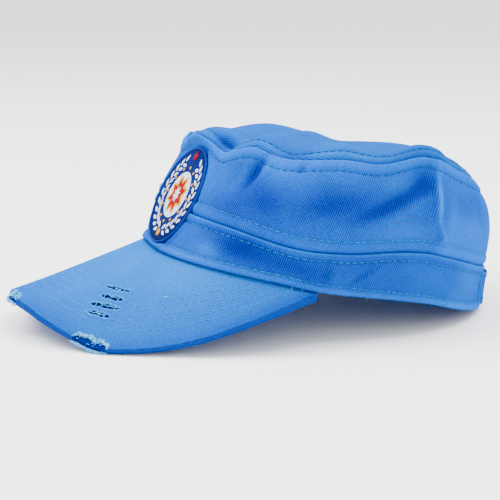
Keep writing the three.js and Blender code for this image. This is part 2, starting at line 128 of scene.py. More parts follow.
# The peak's rim: along, side, forward, drop.
RIM = [
    (0.00, 0.000, 1.000, 0.785),
    (0.12, 0.255, 0.955, 0.815),
    (0.20, 0.400, 0.910, 0.875),
    (0.31, 0.600, 0.806, 0.970),
    (0.39, 0.715, 0.728, 1.000),
    (0.53, 0.869, 0.556, 0.857),
    (0.67, 0.995, 0.395, 0.621),
    (0.80, 1.060, 0.236, 0.340),
    (0.90, 1.070, 0.121, 0.140),
    (0.95, 1.045, 0.055, 0.050),
    (1.00, 1.000, 0.000, 0.000),
]

# Slits of the peak's cloth: start along and out, end along and out, width.
SLITS = [
    (0.208, 0.505, 0.293, 0.447, 1.7 * MM),
    (0.232, 0.590, 0.308, 0.540, 2.3 * MM),
    (0.237, 0.692, 0.326, 0.622, 2.5 * MM),
    (0.254, 0.764, 0.324, 0.722, 2.2 * MM),
]
# Worn places of the rim: start and end along, and how far in from the rim each reaches.
WORN_PLACES = [(-0.050, 0.050, 3.0 * MM), (0.293, 0.402, 3.4 * MM)]

# Seam and stitch distances from the edges.
BAND_STITCH = 4 * MM
WALL_LOW_STITCH = 6 * MM
WALL_TOP_STITCH = 5 * MM
PANEL_STITCH = 0.052
STITCH_PITCH = 3.5 * MM
STITCH_LENGTH = 2.6 * MM
STITCH_THREAD = 0.20 * MM
PEAK_THREAD = 0.14 * MM
FRAY_THREAD = 0.11 * MM
PEAK_ROWS = [12 * MM, 17 * MM, 22 * MM, 27 * MM, 32 * MM, 37 * MM]


# Forms.


def curve(rows, column, at, open_ends=False):
    """Smooth curve through one column of a table whose first column is the place."""
    table = np.array(rows, float)
    x, y = table[:, 0], table[:, column]
    slopes = np.zeros(len(x))
    slopes[1:-1] = (y[2:] - y[:-2]) / (x[2:] - x[:-2])
    if open_ends:
        slopes[0] = (y[1] - y[0]) / (x[1] - x[0])
        slopes[-1] = (y[-1] - y[-2]) / (x[-1] - x[-2])
    at = np.clip(at, x[0], x[-1])
    i = np.clip(np.searchsorted(x, at, side="right") - 1, 0, len(x) - 2)
    span = x[i + 1] - x[i]
    u = (at - x[i]) / span
    return (y[i] * (1 + 2 * u) * (1 - u) ** 2 + y[i + 1] * u * u * (3 - 2 * u)
            + span * (slopes[i] * u * (1 - u) ** 2 - slopes[i + 1] * u * u * (1 - u)))


def bump(x):
    """A soft hill of height 1 at 0."""
    return np.exp(-np.square(x))


def smooth(x, low, high):
    """Smooth step from 0 at low to 1 at high."""
    u = np.clip((x - low) / (high - low), 0, 1)
    return u * u * (3 - 2 * u)


def mix(a, b, share):
    """A blend from a to b."""
    return a + (b - a) * share


def wander(at, seed, scale):
    """A slow smooth wave of about unit height that never quite repeats."""
    steps = [(1.0, 0.0), (1.71, 1.3), (2.63, 4.1), (4.07, 2.2)]
    return sum(np.sin(at / scale * f + p + seed * 1.7) / (1 + k) for k, (f, p) in enumerate(steps)) / 1.6


def outline_radius(angle, lift):
    """Radius of the oval at an angle from the front and a lift."""
    turn = np.radians(angle)
    sine, cosine = np.abs(np.sin(turn)), np.cos(turn)
    side = OPENING_SIDE * curve(SECTIONS, 1, lift, True)
    ahead = cosine > 0
    reach = np.where(ahead, OPENING_FRONT * curve(SECTIONS, 2, lift, True),
                     OPENING_BACK * curve(SECTIONS, 3, lift, True))
    square = np.where(ahead, curve(SECTIONS, 4, lift, True), curve(SECTIONS, 5, lift, True))
    return ((sine / side) ** square + (np.abs(cosine) / reach) ** square) ** (-1 / square)


def fold_depth(angle, lift):
    """How far the dents and swells move the side in or out."""
    away = np.abs(angle)
    total = 0
    for middle, height, near, far, wide, tall, slant in FOLDS:
        at = middle + slant * (lift - height)
        depth = np.where(angle < 0, far, near)
        total = total + depth * bump((away - at) / wide) * bump((lift - height) / tall)
    return DENT_DEPTH * total


def farness(angle):
    """0 on the near side, 1 in the middle of the far side."""
    return np.maximum(0, -np.sin(np.radians(angle)))


def edge_heights(angle):
    """Heights of the band's lower and upper edge and of the top seam."""
    away = np.abs(angle)
    low = BAND_HEIGHT * curve(LOWER_EDGE, 1, away)
    high = BAND_HEIGHT * curve(UPPER_EDGE, 1, away)
    seam = CROWN_HEIGHT * curve(TOP_SEAM, 1, away) - FAR_SETTLE * farness(angle)
    return low, high, seam


BADGE_NORMAL = np.array([0, -math.cos(BADGE_LEAN), math.sin(BADGE_LEAN)])
BADGE_SEAT = np.array([0, -BADGE_REACH, BADGE_HEIGHT]) - BADGE_THICKNESS * BADGE_NORMAL


def from_badge(point):
    """How high a point stands over the badge's seat, and how far it lies from the badge's middle."""
    away = point - BADGE_SEAT
    height = away @ BADGE_NORMAL
    return height, np.linalg.norm(away - height[..., None] * BADGE_NORMAL, axis=-1)


def press_behind_badge(point, lift):
    """The cloth behind the stiff badge lies flat against it."""
    height, beside = from_badge(point)
    hold = 1 - smooth(beside, BADGE_RADIUS + BADGE_HOLD / 2, BADGE_RADIUS + BADGE_HOLD)
    hold = hold * (1 - smooth(lift, BADGE_TOP_LIFT, 2)) * (point[..., 1] < 0)
    return point - ((height + CLEARANCE) * hold)[..., None] * BADGE_NORMAL


def crown_form(angle, lift):
    """Outer form of the crown. From lift 2 to 3 it is the top panel, inward from the seam."""
    angle, lift = np.broadcast_arrays(np.asarray(angle, float), np.asarray(lift, float))
    turn = np.radians(angle)
    inward = np.maximum(0, lift - 2)
    below = np.minimum(lift, 2)
    radius = (outline_radius(angle, below) + fold_depth(angle, below)) * (1 - inward)
    low, high, seam = edge_heights(angle)
    height = np.where(below <= 1, mix(low, high, below), mix(high, seam, below - 1))
    x, y = radius * np.sin(turn), -radius * np.cos(turn)
    middle = CROWN_HEIGHT * curve(RIDGE, 1, y / np.where(y < 0, OPENING_FRONT, OPENING_BACK)) + TOP_RISE
    swell = SHOULDER_RISE * curve(SHOULDER, 1, inward) * (1 - FAR_SLACK * farness(angle))
    panel = mix(height, middle, smooth(inward, 0, PANEL_EASE)) + swell
    return np.stack([x, y, np.where(inward > 0, panel, height)], axis=-1)


def unit(v):
    """Vectors of length 1."""
    return v / np.maximum(np.linalg.norm(v, axis=-1, keepdims=True), 1e-12)


def crown_normal(angle, lift):
    """Outward normal of the crown."""
    step = 0.01
    level = np.where(np.abs(lift - np.round(lift)) < 2 * step, np.round(lift), lift)
    around = crown_form(angle + 1, level) - crown_form(angle - 1, level)
    up = crown_form(angle, level + step) - crown_form(angle, np.maximum(0, level - step))
    normal = unit(np.cross(around, up))
    pole = (lift > 3 - 3 * step)[..., None]
    return np.where(pole, np.array([0, 0, 1.0]), normal)


def crown_layer(angle, lift, depth):
    """A point of the crown's cloth at some depth below its plain outer surface."""
    angle, lift, depth = np.broadcast_arrays(*(np.asarray(v, float) for v in (angle, lift, depth)))
    face = press_behind_badge(crown_form(angle, lift), lift)
    return face - depth[..., None] * crown_normal(angle, lift)


def rim_point(along):
    """Underside of the peak's rim at a way along it."""
    away = np.abs(along)
    corner = crown_form(PEAK_CORNER, 0)
    tip = -(OPENING_FRONT + PEAK_LENGTH)
    return np.stack([
        np.sign(along) * corner[0] * curve(RIM, 1, away, True),
        corner[1] + (tip - corner[1]) * curve(RIM, 2, away, True),
        corner[2] - CLEARANCE - PEAK_THICKNESS - PEAK_DROP * curve(RIM, 3, away, True),
    ], axis=-1)


def seam_point(along):
    """The peak's seam under the band."""
    return crown_layer(along * PEAK_CORNER, 0, 0.6 * BAND_CLOTH) - np.array([0, 0, CLEARANCE])


def peak_point(along, out):
    """Upper surface of the peak, from its seam (0) to its rim (1)."""
    along, out = np.broadcast_arrays(np.asarray(along, float), np.asarray(out, float))
    return mix(seam_point(along), rim_point(along) + np.array([0, 0, PEAK_THICKNESS]), out[..., None])


def peak_ray(along):
    """Direction and length of the peak from its seam to its rim, at a way along it."""
    ray = peak_point(along, 1) - peak_point(along, 0)
    return unit(ray), np.linalg.norm(ray, axis=-1)


def peak_normal(along, out):
    """Upward normal of the peak."""
    step = 0.01
    side = np.clip(along, -1 + step, 1 - step)
    around = peak_point(side + step, out) - peak_point(side - step, out)
    inward = peak_point(side, out) - peak_point(side, out + step)
    return unit(np.cross(around, inward))


def peak_layer(along, out, depth):
    """A point of the peak at some depth below its upper surface."""
    along, out, depth = np.broadcast_arrays(*(np.asarray(v, float) for v in (along, out, depth)))
    return peak_point(along, out) - depth[..., None] * peak_normal(along, out)


def to_frame(points):
    """From the cap's own frame to the frame that it lies in."""
    c, s = math.cos(REST_TILT), math.sin(REST_TILT)
    x, y, z = points[..., 0], points[..., 1], points[..., 2]
    return np.stack([x, y * c + z * s, z * c - y * s], axis=-1) + np.array(CAP_PLACE)


def turn_to_frame(directions):
    """The same turn for directions."""
    return to_frame(directions) - np.array(CAP_PLACE)


GIRTH_ANGLES = np.linspace(-180, 180, 721)
GIRTH_STEPS = np.linalg.norm(np.diff(crown_form(GIRTH_ANGLES, 1.0), axis=0), axis=-1)
GIRTH_WAYS = np.concatenate([[0], np.cumsum(GIRTH_STEPS)]) - GIRTH_STEPS.sum() / 2


def way_round(angle):
    """Way round the cap along the band's upper edge, from the middle of the front."""
    return np.interp(angle, GIRTH_ANGLES, GIRTH_WAYS)


# Seams and folds that are finer than the solids'.


def pucker(angle, seed):
    """Small waves that the stitches pull into the cloth, round the crown."""
    way = way_round(angle)
    return np.sin(2 * math.pi * way / (2 * STITCH_PITCH) + 2.4 * wander(way, seed, 11 * MM)) * (
        0.65 + 0.35 * wander(way, seed + 5, 23 * MM))


def band_relief(angle, lift):
    """How far the band stands out of its plain form: a hem at both edges and the stitches' furrows."""
    low, high, _ = edge_heights(angle)
    from_top, from_low = (1 - lift) * (high - low), lift * (high - low)
    front = bump((np.abs(angle) - 48) / 20)
    rise = 0.55 * bump((from_top - 1.7 * MM) / (1.5 * MM)) - 0.5 * bump((from_top - BAND_STITCH) / (0.8 * MM))
    rise = rise + 0.65 * bump((from_low - 1.8 * MM) / (1.5 * MM))
    rise = rise - 0.55 * bump((from_low - BAND_STITCH) / (0.8 * MM))
    rise = rise + (0.16 + 0.22 * front) * pucker(angle, 1) * bump((from_low - 3.4 * MM) / (2.6 * MM))
    rise = rise + 0.12 * pucker(angle, 2) * bump((from_top - 3.6 * MM) / (2.4 * MM))
    way = way_round(angle)
    middle = bump((lift - 0.5) / 0.32)
    rise = rise + 0.5 * middle * wander(way + lift * 18 * MM, 3, 19 * MM)
    for at, slant, deep, wide in BAND_CREASES:
        rise = rise + deep * middle * bump((np.abs(angle) - at - slant * (lift - 0.5)) / wide)
    return rise * MM


# Fine creases of the band: angle, slant, depth, half-width.
BAND_CREASES = [
    (32, 10, 0.7, 5.0),
    (40, 14, -1.0, 5.0),
    (67.8, 1.2, -1.1, 1.3),
    (70.4, 1.2, 0.5, 1.4),
    (80.4, 17, -1.1, 1.6),
    (83.6, 17, 0.5, 1.6),
    (96, 16, -0.4, 2.5),
    (118, -10, -0.5, 3.0),
    (140, 16, -0.5, 3.0),
]


def wall_relief(angle, lift):
    """The wall's sunk lower edge, its raised upper edge, the stitches' furrows and fine creases."""
    _, high, seam = edge_heights(angle)
    from_top, from_low = (2 - lift) * (seam - high), (lift - 1) * (seam - high)
    rise = -1.0 * bump(from_low / (1.3 * MM)) + 0.35 * bump((from_low - 3.4 * MM) / (1.8 * MM))
    rise = rise - 0.55 * bump((from_low - WALL_LOW_STITCH) / (0.8 * MM))
    rise = rise + 0.12 * pucker(angle, 4) * bump((from_low - 5.5 * MM) / (2.6 * MM))
    rise = rise + 0.55 * bump((from_top - 2.4 * MM) / (1.8 * MM)) + 0.5 * bump(from_top / (0.8 * MM))
    rise = rise - 0.6 * bump((from_top - WALL_TOP_STITCH) / (0.8 * MM))
    rise = rise + 0.26 * pucker(angle, 6) * bump((from_top - 4.2 * MM) / (3.2 * MM))
    way = way_round(angle)
    middle = bump((lift - 1.52) / 0.36)
    rise = rise + 0.55 * middle * wander(way + (lift - 1.5) * 26 * MM, 8, 31 * MM)
    for at, slant, deep, wide, height, tall in WALL_CREASES:
        line = (np.abs(angle) - at - slant * (lift - height)) / wide
        rise = rise + deep * bump(line) * bump((lift - height) / tall)
    return rise * MM


# Fine creases of the wall: angle, slant, depth, half-width, lift, half-height.
WALL_CREASES = [
    (38.2, 8.6, -2.2, 1.4, 1.72, 0.18),
    (41.4, 9, 1.0, 1.8, 1.78, 0.15),
    (34.6, 8, 0.7, 1.8, 1.70, 0.16),
    (102.3, 1, 1.7, 1.0, 1.60, 0.30),
    (98.6, 2, -1.1, 2.0, 1.64, 0.28),
    (105.5, 4, -0.5, 2.0, 1.50, 0.30),
    (105, -30, 0.8, 1.6, 1.24, 0.08),
    (53.2, 6, -1.1, 1.2, 1.90, 0.045),
    (56.2, 6, 0.7, 1.2, 1.91, 0.05),
    (86, 59, -1.3, 5.0, 1.55, 0.17),
    (94, 59, 0.9, 4.0, 1.50, 0.17),
    (61, 40, -0.7, 5.0, 1.42, 0.16),
    (70, 40, 0.5, 5.0, 1.40, 0.14),
    (126, -10, -0.8, 3.0, 1.60, 0.30),
    (150, 12, -0.8, 4.0, 1.55, 0.30),
    (166, -14, 0.8, 4.0, 1.55, 0.30),
]


def panel_relief(angle, lift):
    """The top panel starts below the seam's ridge, dips at its stitches and has soft folds."""
    inward = lift - 2
    rise = -1.1 * bump(inward / 0.012) + 0.15 * bump((inward - 0.03) / 0.014)
    rise = rise - 0.4 * bump((inward - PANEL_STITCH) / 0.009)
    rise = rise + 0.09 * pucker(angle, 9) * bump((inward - 0.045) / 0.03)
    for at, wide, deep, place, reach in PANEL_FOLDS:
        rise = rise + deep * bump((angle - at) / wide) * bump((inward - place) / reach)
    return rise * MM


# Folds of the top panel: angle, half-width, depth, way inward, half-reach.
PANEL_FOLDS = [
    (15.5, 6, -3.6, 0.06, 0.035),
    (13, 9, 1.5, 0.145, 0.045),
    (34, 6, 1.3, 0.16, 0.12),
    (48, 5, -1.5, 0.07, 0.08),
    (64, 6, 0.9, 0.12, 0.12),
    (86, 7, -1.1, 0.12, 0.12),
    (104, 6, 1.0, 0.14, 0.14),
    (128, 8, -0.9, 0.16, 0.14),
    (-40, 9, -1.2, 0.14, 0.14),
    (-95, 12, 1.0, 0.16, 0.14),
    (-135, 10, -1.1, 0.16, 0.14),
    (168, 10, 0.9, 0.16, 0.14),
]


def badge_welt(point, lift):
    """The cloth swells up round the edge of the sewn badge."""
    _, beside = from_badge(point)
    swell = smooth(beside, BADGE_RADIUS + 0.15 * MM, BADGE_RADIUS + 1.2 * MM)
    fall = 1 - smooth(beside, BADGE_RADIUS + 2.2 * MM, BADGE_RADIUS + 7 * MM)
    return 1.25 * MM * swell * fall * (point[..., 1] < 0) * (1 - smooth(lift, 1.8, 1.95))


# Mesh helpers.


def link(mesh, name, material):
    """A new object of a mesh, at the origin, with one material."""
    piece = bpy.data.objects.new(name, mesh)
    bpy.context.scene.collection.objects.link(piece)
    mesh.materials.append(material)
    return piece


def to_mesh(maker, name):
    """A new mesh from one being made."""
    mesh = bpy.data.meshes.new(name)
    maker.to_mesh(mesh)
    maker.free()
    return mesh


def woven_grid(name, columns, rows, place, weave, fade_and_shade, dropped=None, join=False, facing=None):
    """A sheet made from a flat grid: each grid point moves to place, with its weave coordinates in
    metres and its share of fading and painted shade. dropped says which cells are missing, join closes its
    ends and facing is the side that an open sheet turns its face to."""
    maker = bmesh.new()
    bmesh.ops.create_grid(maker, x_segments=columns - 1, y_segments=rows - 1, size=0.5)

    def cell(at):
        return (at.x + 0.5) * (columns - 1), (at.y + 0.5) * (rows - 1)

    if dropped is not None:
        gone = [f for f in maker.faces
                if dropped[tuple(int(v) for v in cell(f.calc_center_median())[::-1])]]
        bmesh.ops.delete(maker, geom=gone, context="FACES")
    spots = [cell(v.co) for v in maker.verts]
    mesh = to_mesh(maker, name)
    index = np.rint(np.array(spots)).astype(int)
    i, j = index[:, 0], index[:, 1]
    mesh.vertices.foreach_set("co", place[j, i].astype(np.float32).ravel())
    corner = np.empty(len(mesh.loops), np.int32)
    mesh.loops.foreach_get("vertex_index", corner)
    layer = mesh.uv_layers.new(name="weave")
    layer.data.foreach_set("uv", weave[j[corner], i[corner]].astype(np.float32).ravel())
    # The attribute holds fading and wear together with painted shade and highlight.
    worn = mesh.attributes.new("fade_and_shade", "FLOAT", "POINT")
    worn.data.foreach_set("value", fade_and_shade[j, i].astype(np.float32))
    maker = bmesh.new()
    maker.from_mesh(mesh)
    if join:
        bmesh.ops.remove_doubles(maker, verts=maker.verts, dist=0.004 * MM)
        bmesh.ops.dissolve_degenerate(maker, edges=maker.edges, dist=0.002 * MM)
    maker.normal_update()
    if facing is None:
        bmesh.ops.recalc_face_normals(maker, faces=maker.faces)
    elif sum((f.normal * f.calc_area() for f in maker.faces), Vector()).dot(facing) < 0:
        bmesh.ops.reverse_faces(maker, faces=maker.faces)
    for f in maker.faces:
        f.smooth = True
    maker.to_mesh(mesh)
    maker.free()
    return mesh


def thicken(piece, thickness):
    """Gives a sheet its cloth's thickness, inward."""
    solid = piece.modifiers.new("cloth", "SOLIDIFY")
    solid.thickness = thickness
    solid.offset = -1


def soften(piece, width, segments):
    """Rounds a piece's edges a little."""
    edge = piece.modifiers.new("soft_edge", "BEVEL")
    edge.width = width
    edge.segments = segments


def finish_piece(piece, slot, *nodes):
    """Every piece rides on the one body and stands for its nodes; slot is not used."""
    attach(piece, BODY)
    if nodes:
        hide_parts(*nodes)
    return piece


def threads(name, paths, radius, material, sides=1):
    """Many short threads, each a list of points, as one mesh."""
    line = bpy.data.curves.new(name, "CURVE")
    line.dimensions = "3D"
    line.bevel_depth = radius
    line.bevel_resolution = sides
    line.use_fill_caps = True
    for path in paths:
        spline = line.splines.new("POLY")
        spline.points.add(len(path) - 1)
        flat = np.c_[np.array(path), np.ones(len(path))]
        spline.points.foreach_set("co", flat.astype(np.float32).ravel())
    holder = bpy.data.objects.new(name + "_line", line)
    bpy.context.scene.collection.objects.link(holder)
    bpy.context.view_layer.update()
    mesh = bpy.data.meshes.new_from_object(holder.evaluated_get(bpy.context.evaluated_depsgraph_get()))
    bpy.data.objects.remove(holder)
    bpy.data.curves.remove(line)
    mesh.name = name
    for polygon in mesh.polygons:
        polygon.use_smooth = True
    mesh.materials.clear()
    return link(mesh, name, material)


# Materials.


def shader_group(name, inputs, outputs):
    """An empty shader node group with named inputs and outputs."""
    group = bpy.data.node_groups.new(name, "ShaderNodeTree")
    for label, kind, value in inputs:
        socket = group.interface.new_socket(label, in_out="INPUT", socket_type=kind)
        if value is not None:
            socket.default_value = value
    for label, kind in outputs:
        group.interface.new_socket(label, in_out="OUTPUT", socket_type=kind)
    return group, group.nodes.new("NodeGroupInput"), group.nodes.new("NodeGroupOutput")


def math_node(tree, operation, a, b=0.5, c=None, clamp=False):
    """One math node, whose inputs are numbers or sockets."""
    node = tree.nodes.new("ShaderNodeMath")
    node.operation = operation
    node.use_clamp = clamp
    for socket, value in zip(node.inputs, (a, b, c)):
        if isinstance(value, bpy.types.NodeSocket):
            tree.links.new(value, socket)
        elif value is not None:
            socket.default_value = value
    return node.outputs[0]


def set_inputs(node, values):
    """Sets a node's inputs by their names, each to a value or to another node's socket."""
    for name, value in values.items():
        if isinstance(value, bpy.types.NodeSocket):
            node.id_data.links.new(value, node.inputs[name])
        else:
            node.inputs[name].default_value = value


def noise_node(tree, vector, scale, detail=2.0, roughness=0.5):
    """Noise over a vector."""
    node = tree.nodes.new("ShaderNodeTexNoise")
    set_inputs(node, {"Scale": scale, "Detail": detail, "Roughness": roughness, "Vector": vector})
    return node.outputs["Fac"]


def remap(tree, value, low, high, to_low=0.0, to_high=1.0):
    """A clamped change of range."""
    node = tree.nodes.new("ShaderNodeMapRange")
    set_inputs(node, {"From Min": low, "From Max": high, "To Min": to_low, "To Max": to_high, "Value": value})
    return node.outputs["Result"]


def mix_colour(tree, share, a, b):
    """A blend of two colours, each a socket or a value."""
    node = tree.nodes.new("ShaderNodeMix")
    node.data_type = "RGBA"
    for socket, value in ((node.inputs[0], share), (node.inputs[6], a), (node.inputs[7], b)):
        if isinstance(value, bpy.types.NodeSocket):
            tree.links.new(value, socket)
        else:
            socket.default_value = value
    return node.outputs[2]


def make_twill_group():
    """Twill: slanted ribs, each a row of short floats. Gives a height and a colour mask."""
    group, given, made = shader_group(
        "twill_weave",
        [("Place", "NodeSocketVector", None), ("Pitch", "NodeSocketFloat", 1.05 * MM),
         ("Slant", "NodeSocketFloat", 0.8), ("Loose", "NodeSocketFloat", 0.3)],
        [("Height", "NodeSocketFloat"), ("Rib", "NodeSocketFloat")])
    place = given.outputs["Place"]
    do = functools.partial(math_node, group)
    parts = group.nodes.new("ShaderNodeSeparateXYZ")
    group.links.new(place, parts.inputs[0])
    sine = do("SINE", given.outputs["Slant"])
    cosine = do("COSINE", given.outputs["Slant"])
    x, y = parts.outputs[0], parts.outputs[1]
    across = do("SUBTRACT", do("MULTIPLY", x, sine),
                       do("MULTIPLY", y, cosine))
    along = do("ADD", do("MULTIPLY", x, cosine),
                      do("MULTIPLY", y, sine))
    drift = noise_node(group, place, 160, 2)
    drift = do("MULTIPLY", do("SUBTRACT", drift, 0.5), given.outputs["Loose"])
    turns = do("ADD", do("DIVIDE", across, given.outputs["Pitch"]), drift)
    wave = do("SINE", do("MULTIPLY", turns, 2 * math.pi))
    rib = do("MULTIPLY_ADD", wave, 0.5, 0.5)
    order = do("MULTIPLY", do("FLOOR", do("ADD", turns, 0.25)), 0.37)
    beat = do("ADD", do("DIVIDE", along, given.outputs["Pitch"]), order)
    floats = do("SINE", do("MULTIPLY", beat, 2 * math.pi))
    floats = do("MULTIPLY_ADD", floats, 0.28, 0.72)
    height = do("MULTIPLY", rib, floats)
    group.links.new(height, made.inputs["Height"])
    group.links.new(height, made.inputs["Rib"])
    return group


def make_wash_and_shade_group():
    """Uneven washed dye: broad clouds and small specks, plus what the attribute of fading and painted shade
    adds.
    """
    group, given, made = shader_group(
        "washed_dye_and_shade",
        [("Place", "NodeSocketVector", None), ("Fade", "NodeSocketFloat", 0.5),
         ("Cloud", "NodeSocketFloat", 0.5), ("Speck", "NodeSocketFloat", 0.3)],
        [("Share", "NodeSocketFloat"), ("Speck", "NodeSocketFloat")])
    place = given.outputs["Place"]
    do = functools.partial(math_node, group)
    cloud = do("SUBTRACT", noise_node(group, place, 38, 3, 0.55), 0.5)
    speck = do("SUBTRACT", noise_node(group, place, 800, 3, 0.75), 0.5)
    fine = do("MULTIPLY", speck, given.outputs["Speck"])
    share = do("MULTIPLY_ADD", cloud, given.outputs["Cloud"], given.outputs["Fade"])
    share = do("ADD", share, fine, clamp=True)
    group.links.new(share, made.inputs["Share"])
    group.links.new(speck, made.inputs["Speck"])
    return group


TWILL = make_twill_group()
WASH_AND_SHADE = make_wash_and_shade_group()


CLOTH_GLOSS = 0.02


def new_material(name, roughness, sheen, sheen_tint=(0.6, 0.8, 1, 1)):
    """A cloth material with its plain shader."""
    material = bpy.data.materials.new(name)
    material.use_nodes = True
    tree = material.node_tree
    shader = tree.nodes["Principled BSDF"]
    set_inputs(shader, {"Roughness": roughness, "Specular IOR Level": CLOTH_GLOSS, "Sheen Weight": sheen,
                        "Sheen Roughness": 0.5, "Sheen Tint": sheen_tint})
    return material, tree, shader


def weave_node(tree, values):
    """The twill group on a piece's own weave coordinates, and those coordinates."""
    weave = tree.nodes.new("ShaderNodeUVMap")
    weave.uv_map = "weave"
    ribs = tree.nodes.new("ShaderNodeGroup")
    ribs.node_tree = TWILL
    set_inputs(ribs, {"Place": weave.outputs[0], **values})
    return ribs, weave.outputs[0]


def raise_surface(tree, shader, height, distance, strength=1.0):
    """Lets a height raise a shader's surface."""
    node = tree.nodes.new("ShaderNodeBump")
    set_inputs(node, {"Height": height, "Distance": distance, "Strength": strength})
    tree.links.new(node.outputs[0], shader.inputs["Normal"])


def twill_material(name, deep, pale, slant, pitch=1.05 * MM, rib_dark=0.22, relief=0.22 * MM, cloud=0.34):
    """Washed twill on a piece's own weave coordinates and its attribute of fading and painted shade."""
    material, tree, shader = new_material(name, 0.95, 0.0, (0.1, 0.45, 1, 1))
    ribs, _ = weave_node(tree, {"Pitch": pitch, "Slant": math.radians(slant)})
    place = tree.nodes.new("ShaderNodeTexCoord").outputs["Object"]
    # This attribute brings painted shade and highlight as well as fading and wear.
    worn = tree.nodes.new("ShaderNodeAttribute")
    worn.attribute_name = "fade_and_shade"
    dye_and_shade = tree.nodes.new("ShaderNodeGroup")
    dye_and_shade.node_tree = WASH_AND_SHADE
    set_inputs(dye_and_shade, {"Cloud": cloud, "Speck": 0.55, "Place": place, "Fade": worn.outputs["Fac"]})
    colour = mix_colour(tree, dye_and_shade.outputs["Share"], deep, pale)
    gap = tuple(0.42 * c for c in deep[:3]) + (1,)
    open_dye = math_node(tree, "SUBTRACT", 1.32, dye_and_shade.outputs["Share"])
    furrow = math_node(tree, "MULTIPLY", math_node(tree, "SUBTRACT", 1.0, ribs.outputs["Rib"]), rib_dark * 2)
    furrow = math_node(tree, "MULTIPLY", furrow, open_dye, clamp=True)
    colour = mix_colour(tree, furrow, colour, gap)
    tree.links.new(colour, shader.inputs["Base Color"])
    height = math_node(tree, "MULTIPLY_ADD", dye_and_shade.outputs["Speck"], 0.35, ribs.outputs["Height"])
    raise_surface(tree, shader, height, relief, 0.9)
    return material


def thread_material(name, base, other, sheen=0.02):
    """Spun thread whose colour changes a little from place to place."""
    material, tree, shader = new_material(name, 0.8, sheen)
    place = tree.nodes.new("ShaderNodeTexCoord").outputs["Object"]
    share = remap(tree, noise_node(tree, place, 700, 2), 0.3, 0.7)
    tree.links.new(mix_colour(tree, share, base, other), shader.inputs["Base Color"])
    raise_surface(tree, shader, noise_node(tree, place, 3500, 2), 0.05 * MM)
    return material


def satin_material(name, base, dark, pitch=0.42 * MM, slant=90.0):
    """Embroidery: close parallel threads on a piece's own weave coordinates."""
    material, tree, shader = new_material(name, 0.7, 0.0, (1, 1, 1, 1))
    ribs, weave = weave_node(tree, {"Pitch": pitch, "Slant": math.radians(slant), "Loose": 0.6})
    speck = noise_node(tree, weave, 900, 3, 0.7)
    share = math_node(tree, "MULTIPLY", ribs.outputs["Rib"], remap(tree, speck, 0.25, 0.6, 0.35, 1.0))
    tree.links.new(mix_colour(tree, share, dark, base), shader.inputs["Base Color"])
    raise_surface(tree, shader, ribs.outputs["Height"], 0.14 * MM)
    return material


DEEP_BLUE = (0.0003, 0.024, 0.30, 1)
MID_BLUE = (0.0006, 0.165, 0.68, 1)
PALE_BLUE = (0.0005, 0.185, 0.60, 1)

wall_twill = twill_material("wall_twill", DEEP_BLUE, MID_BLUE, 76, rib_dark=0.42)
band_twill = twill_material("band_twill", DEEP_BLUE, MID_BLUE, 80, rib_dark=0.42)
panel_twill = twill_material("panel_twill", (0.0004, 0.035, 0.32, 1), (0.0008, 0.155, 0.54, 1), 46, 0.9 * MM,
                             rib_dark=0.42)
# peak_twill is a paler copy of the crown's twill, PALE_BLUE included: painted light on the peak's upward
# slope.
peak_twill = twill_material("peak_twill", (0.0005, 0.055, 0.40, 1), PALE_BLUE, 118, 1.05 * MM, rib_dark=0.50)
core_twill = twill_material("core_twill", (0.0005, 0.006, 0.10, 1), (0.001, 0.03, 0.30, 1), 60, 0.9 * MM, 0.5)
row_thread = thread_material("row_thread", (0.002, 0.070, 0.22, 1), (0.010, 0.22, 0.42, 1))
peak_thread = thread_material("peak_thread", (0.001, 0.15, 0.50, 1), (0.004, 0.25, 0.62, 1))
seam_thread = thread_material("seam_thread", (0.001, 0.020, 0.09, 1), (0.003, 0.070, 0.20, 1))
frayed_thread = thread_material("frayed_thread", (0.03, 0.30, 0.66, 1), (0.16, 0.56, 0.84, 1), 0.2)
navy_satin = satin_material("navy_satin", (0.002, 0.020, 0.19, 1), (0.0005, 0.004, 0.05, 1), 0.5 * MM, 20)
rim_satin = satin_material("rim_satin", (0.010, 0.07, 0.40, 1), (0.002, 0.015, 0.16, 1), 0.5 * MM, 90)
white_satin = satin_material("white_satin", (0.86, 0.88, 0.93, 1), (0.42, 0.48, 0.66, 1))
red_satin = satin_material("red_satin", (0.42, 0.002, 0.003, 1), (0.20, 0.001, 0.002, 1))
gold_satin = satin_material("gold_satin", (0.74, 0.40, 0.004, 1), (0.44, 0.19, 0.002, 1))


# Crown.


AROUND = 540


def ring_piece(name, stations, relief, material, fade_and_shade, turn=(0, 0)):
    """A closed ring of cloth. stations are (lift, depth) round its section, the last like the first,
    and the relief lifts the outer face."""
    angles = np.linspace(-180, 180, AROUND + 1)
    lifts = np.array([s[0] for s in stations])[:, None]
    depths = np.array([s[1] for s in stations])[:, None]
    angle, lift = np.broadcast_arrays(angles[None, :], lifts)
    outer = 1 - smooth(depths, 0.1 * MM, 1.2 * MM)
    raised = relief(angle, lift) + badge_welt(crown_layer(angle, lift, 0), lift)
    place = to_frame(crown_layer(angle, lift, depths - raised * outer))
    place[..., 2] = np.maximum(place[..., 2], 0.0)
    way = way_round(angles)
    step = np.linalg.norm(np.diff(place[:, 3 * AROUND // 4], axis=0), axis=-1)
    rise = np.concatenate([[0], np.cumsum(step)])
    weave = np.stack(np.broadcast_arrays(way[None, :] + turn[0], rise[:, None] + turn[1]), axis=-1)
    mesh = woven_grid(name, AROUND + 1, len(stations), place, weave, fade_and_shade(angle, lift), join=True)
    return link(mesh, name, material)


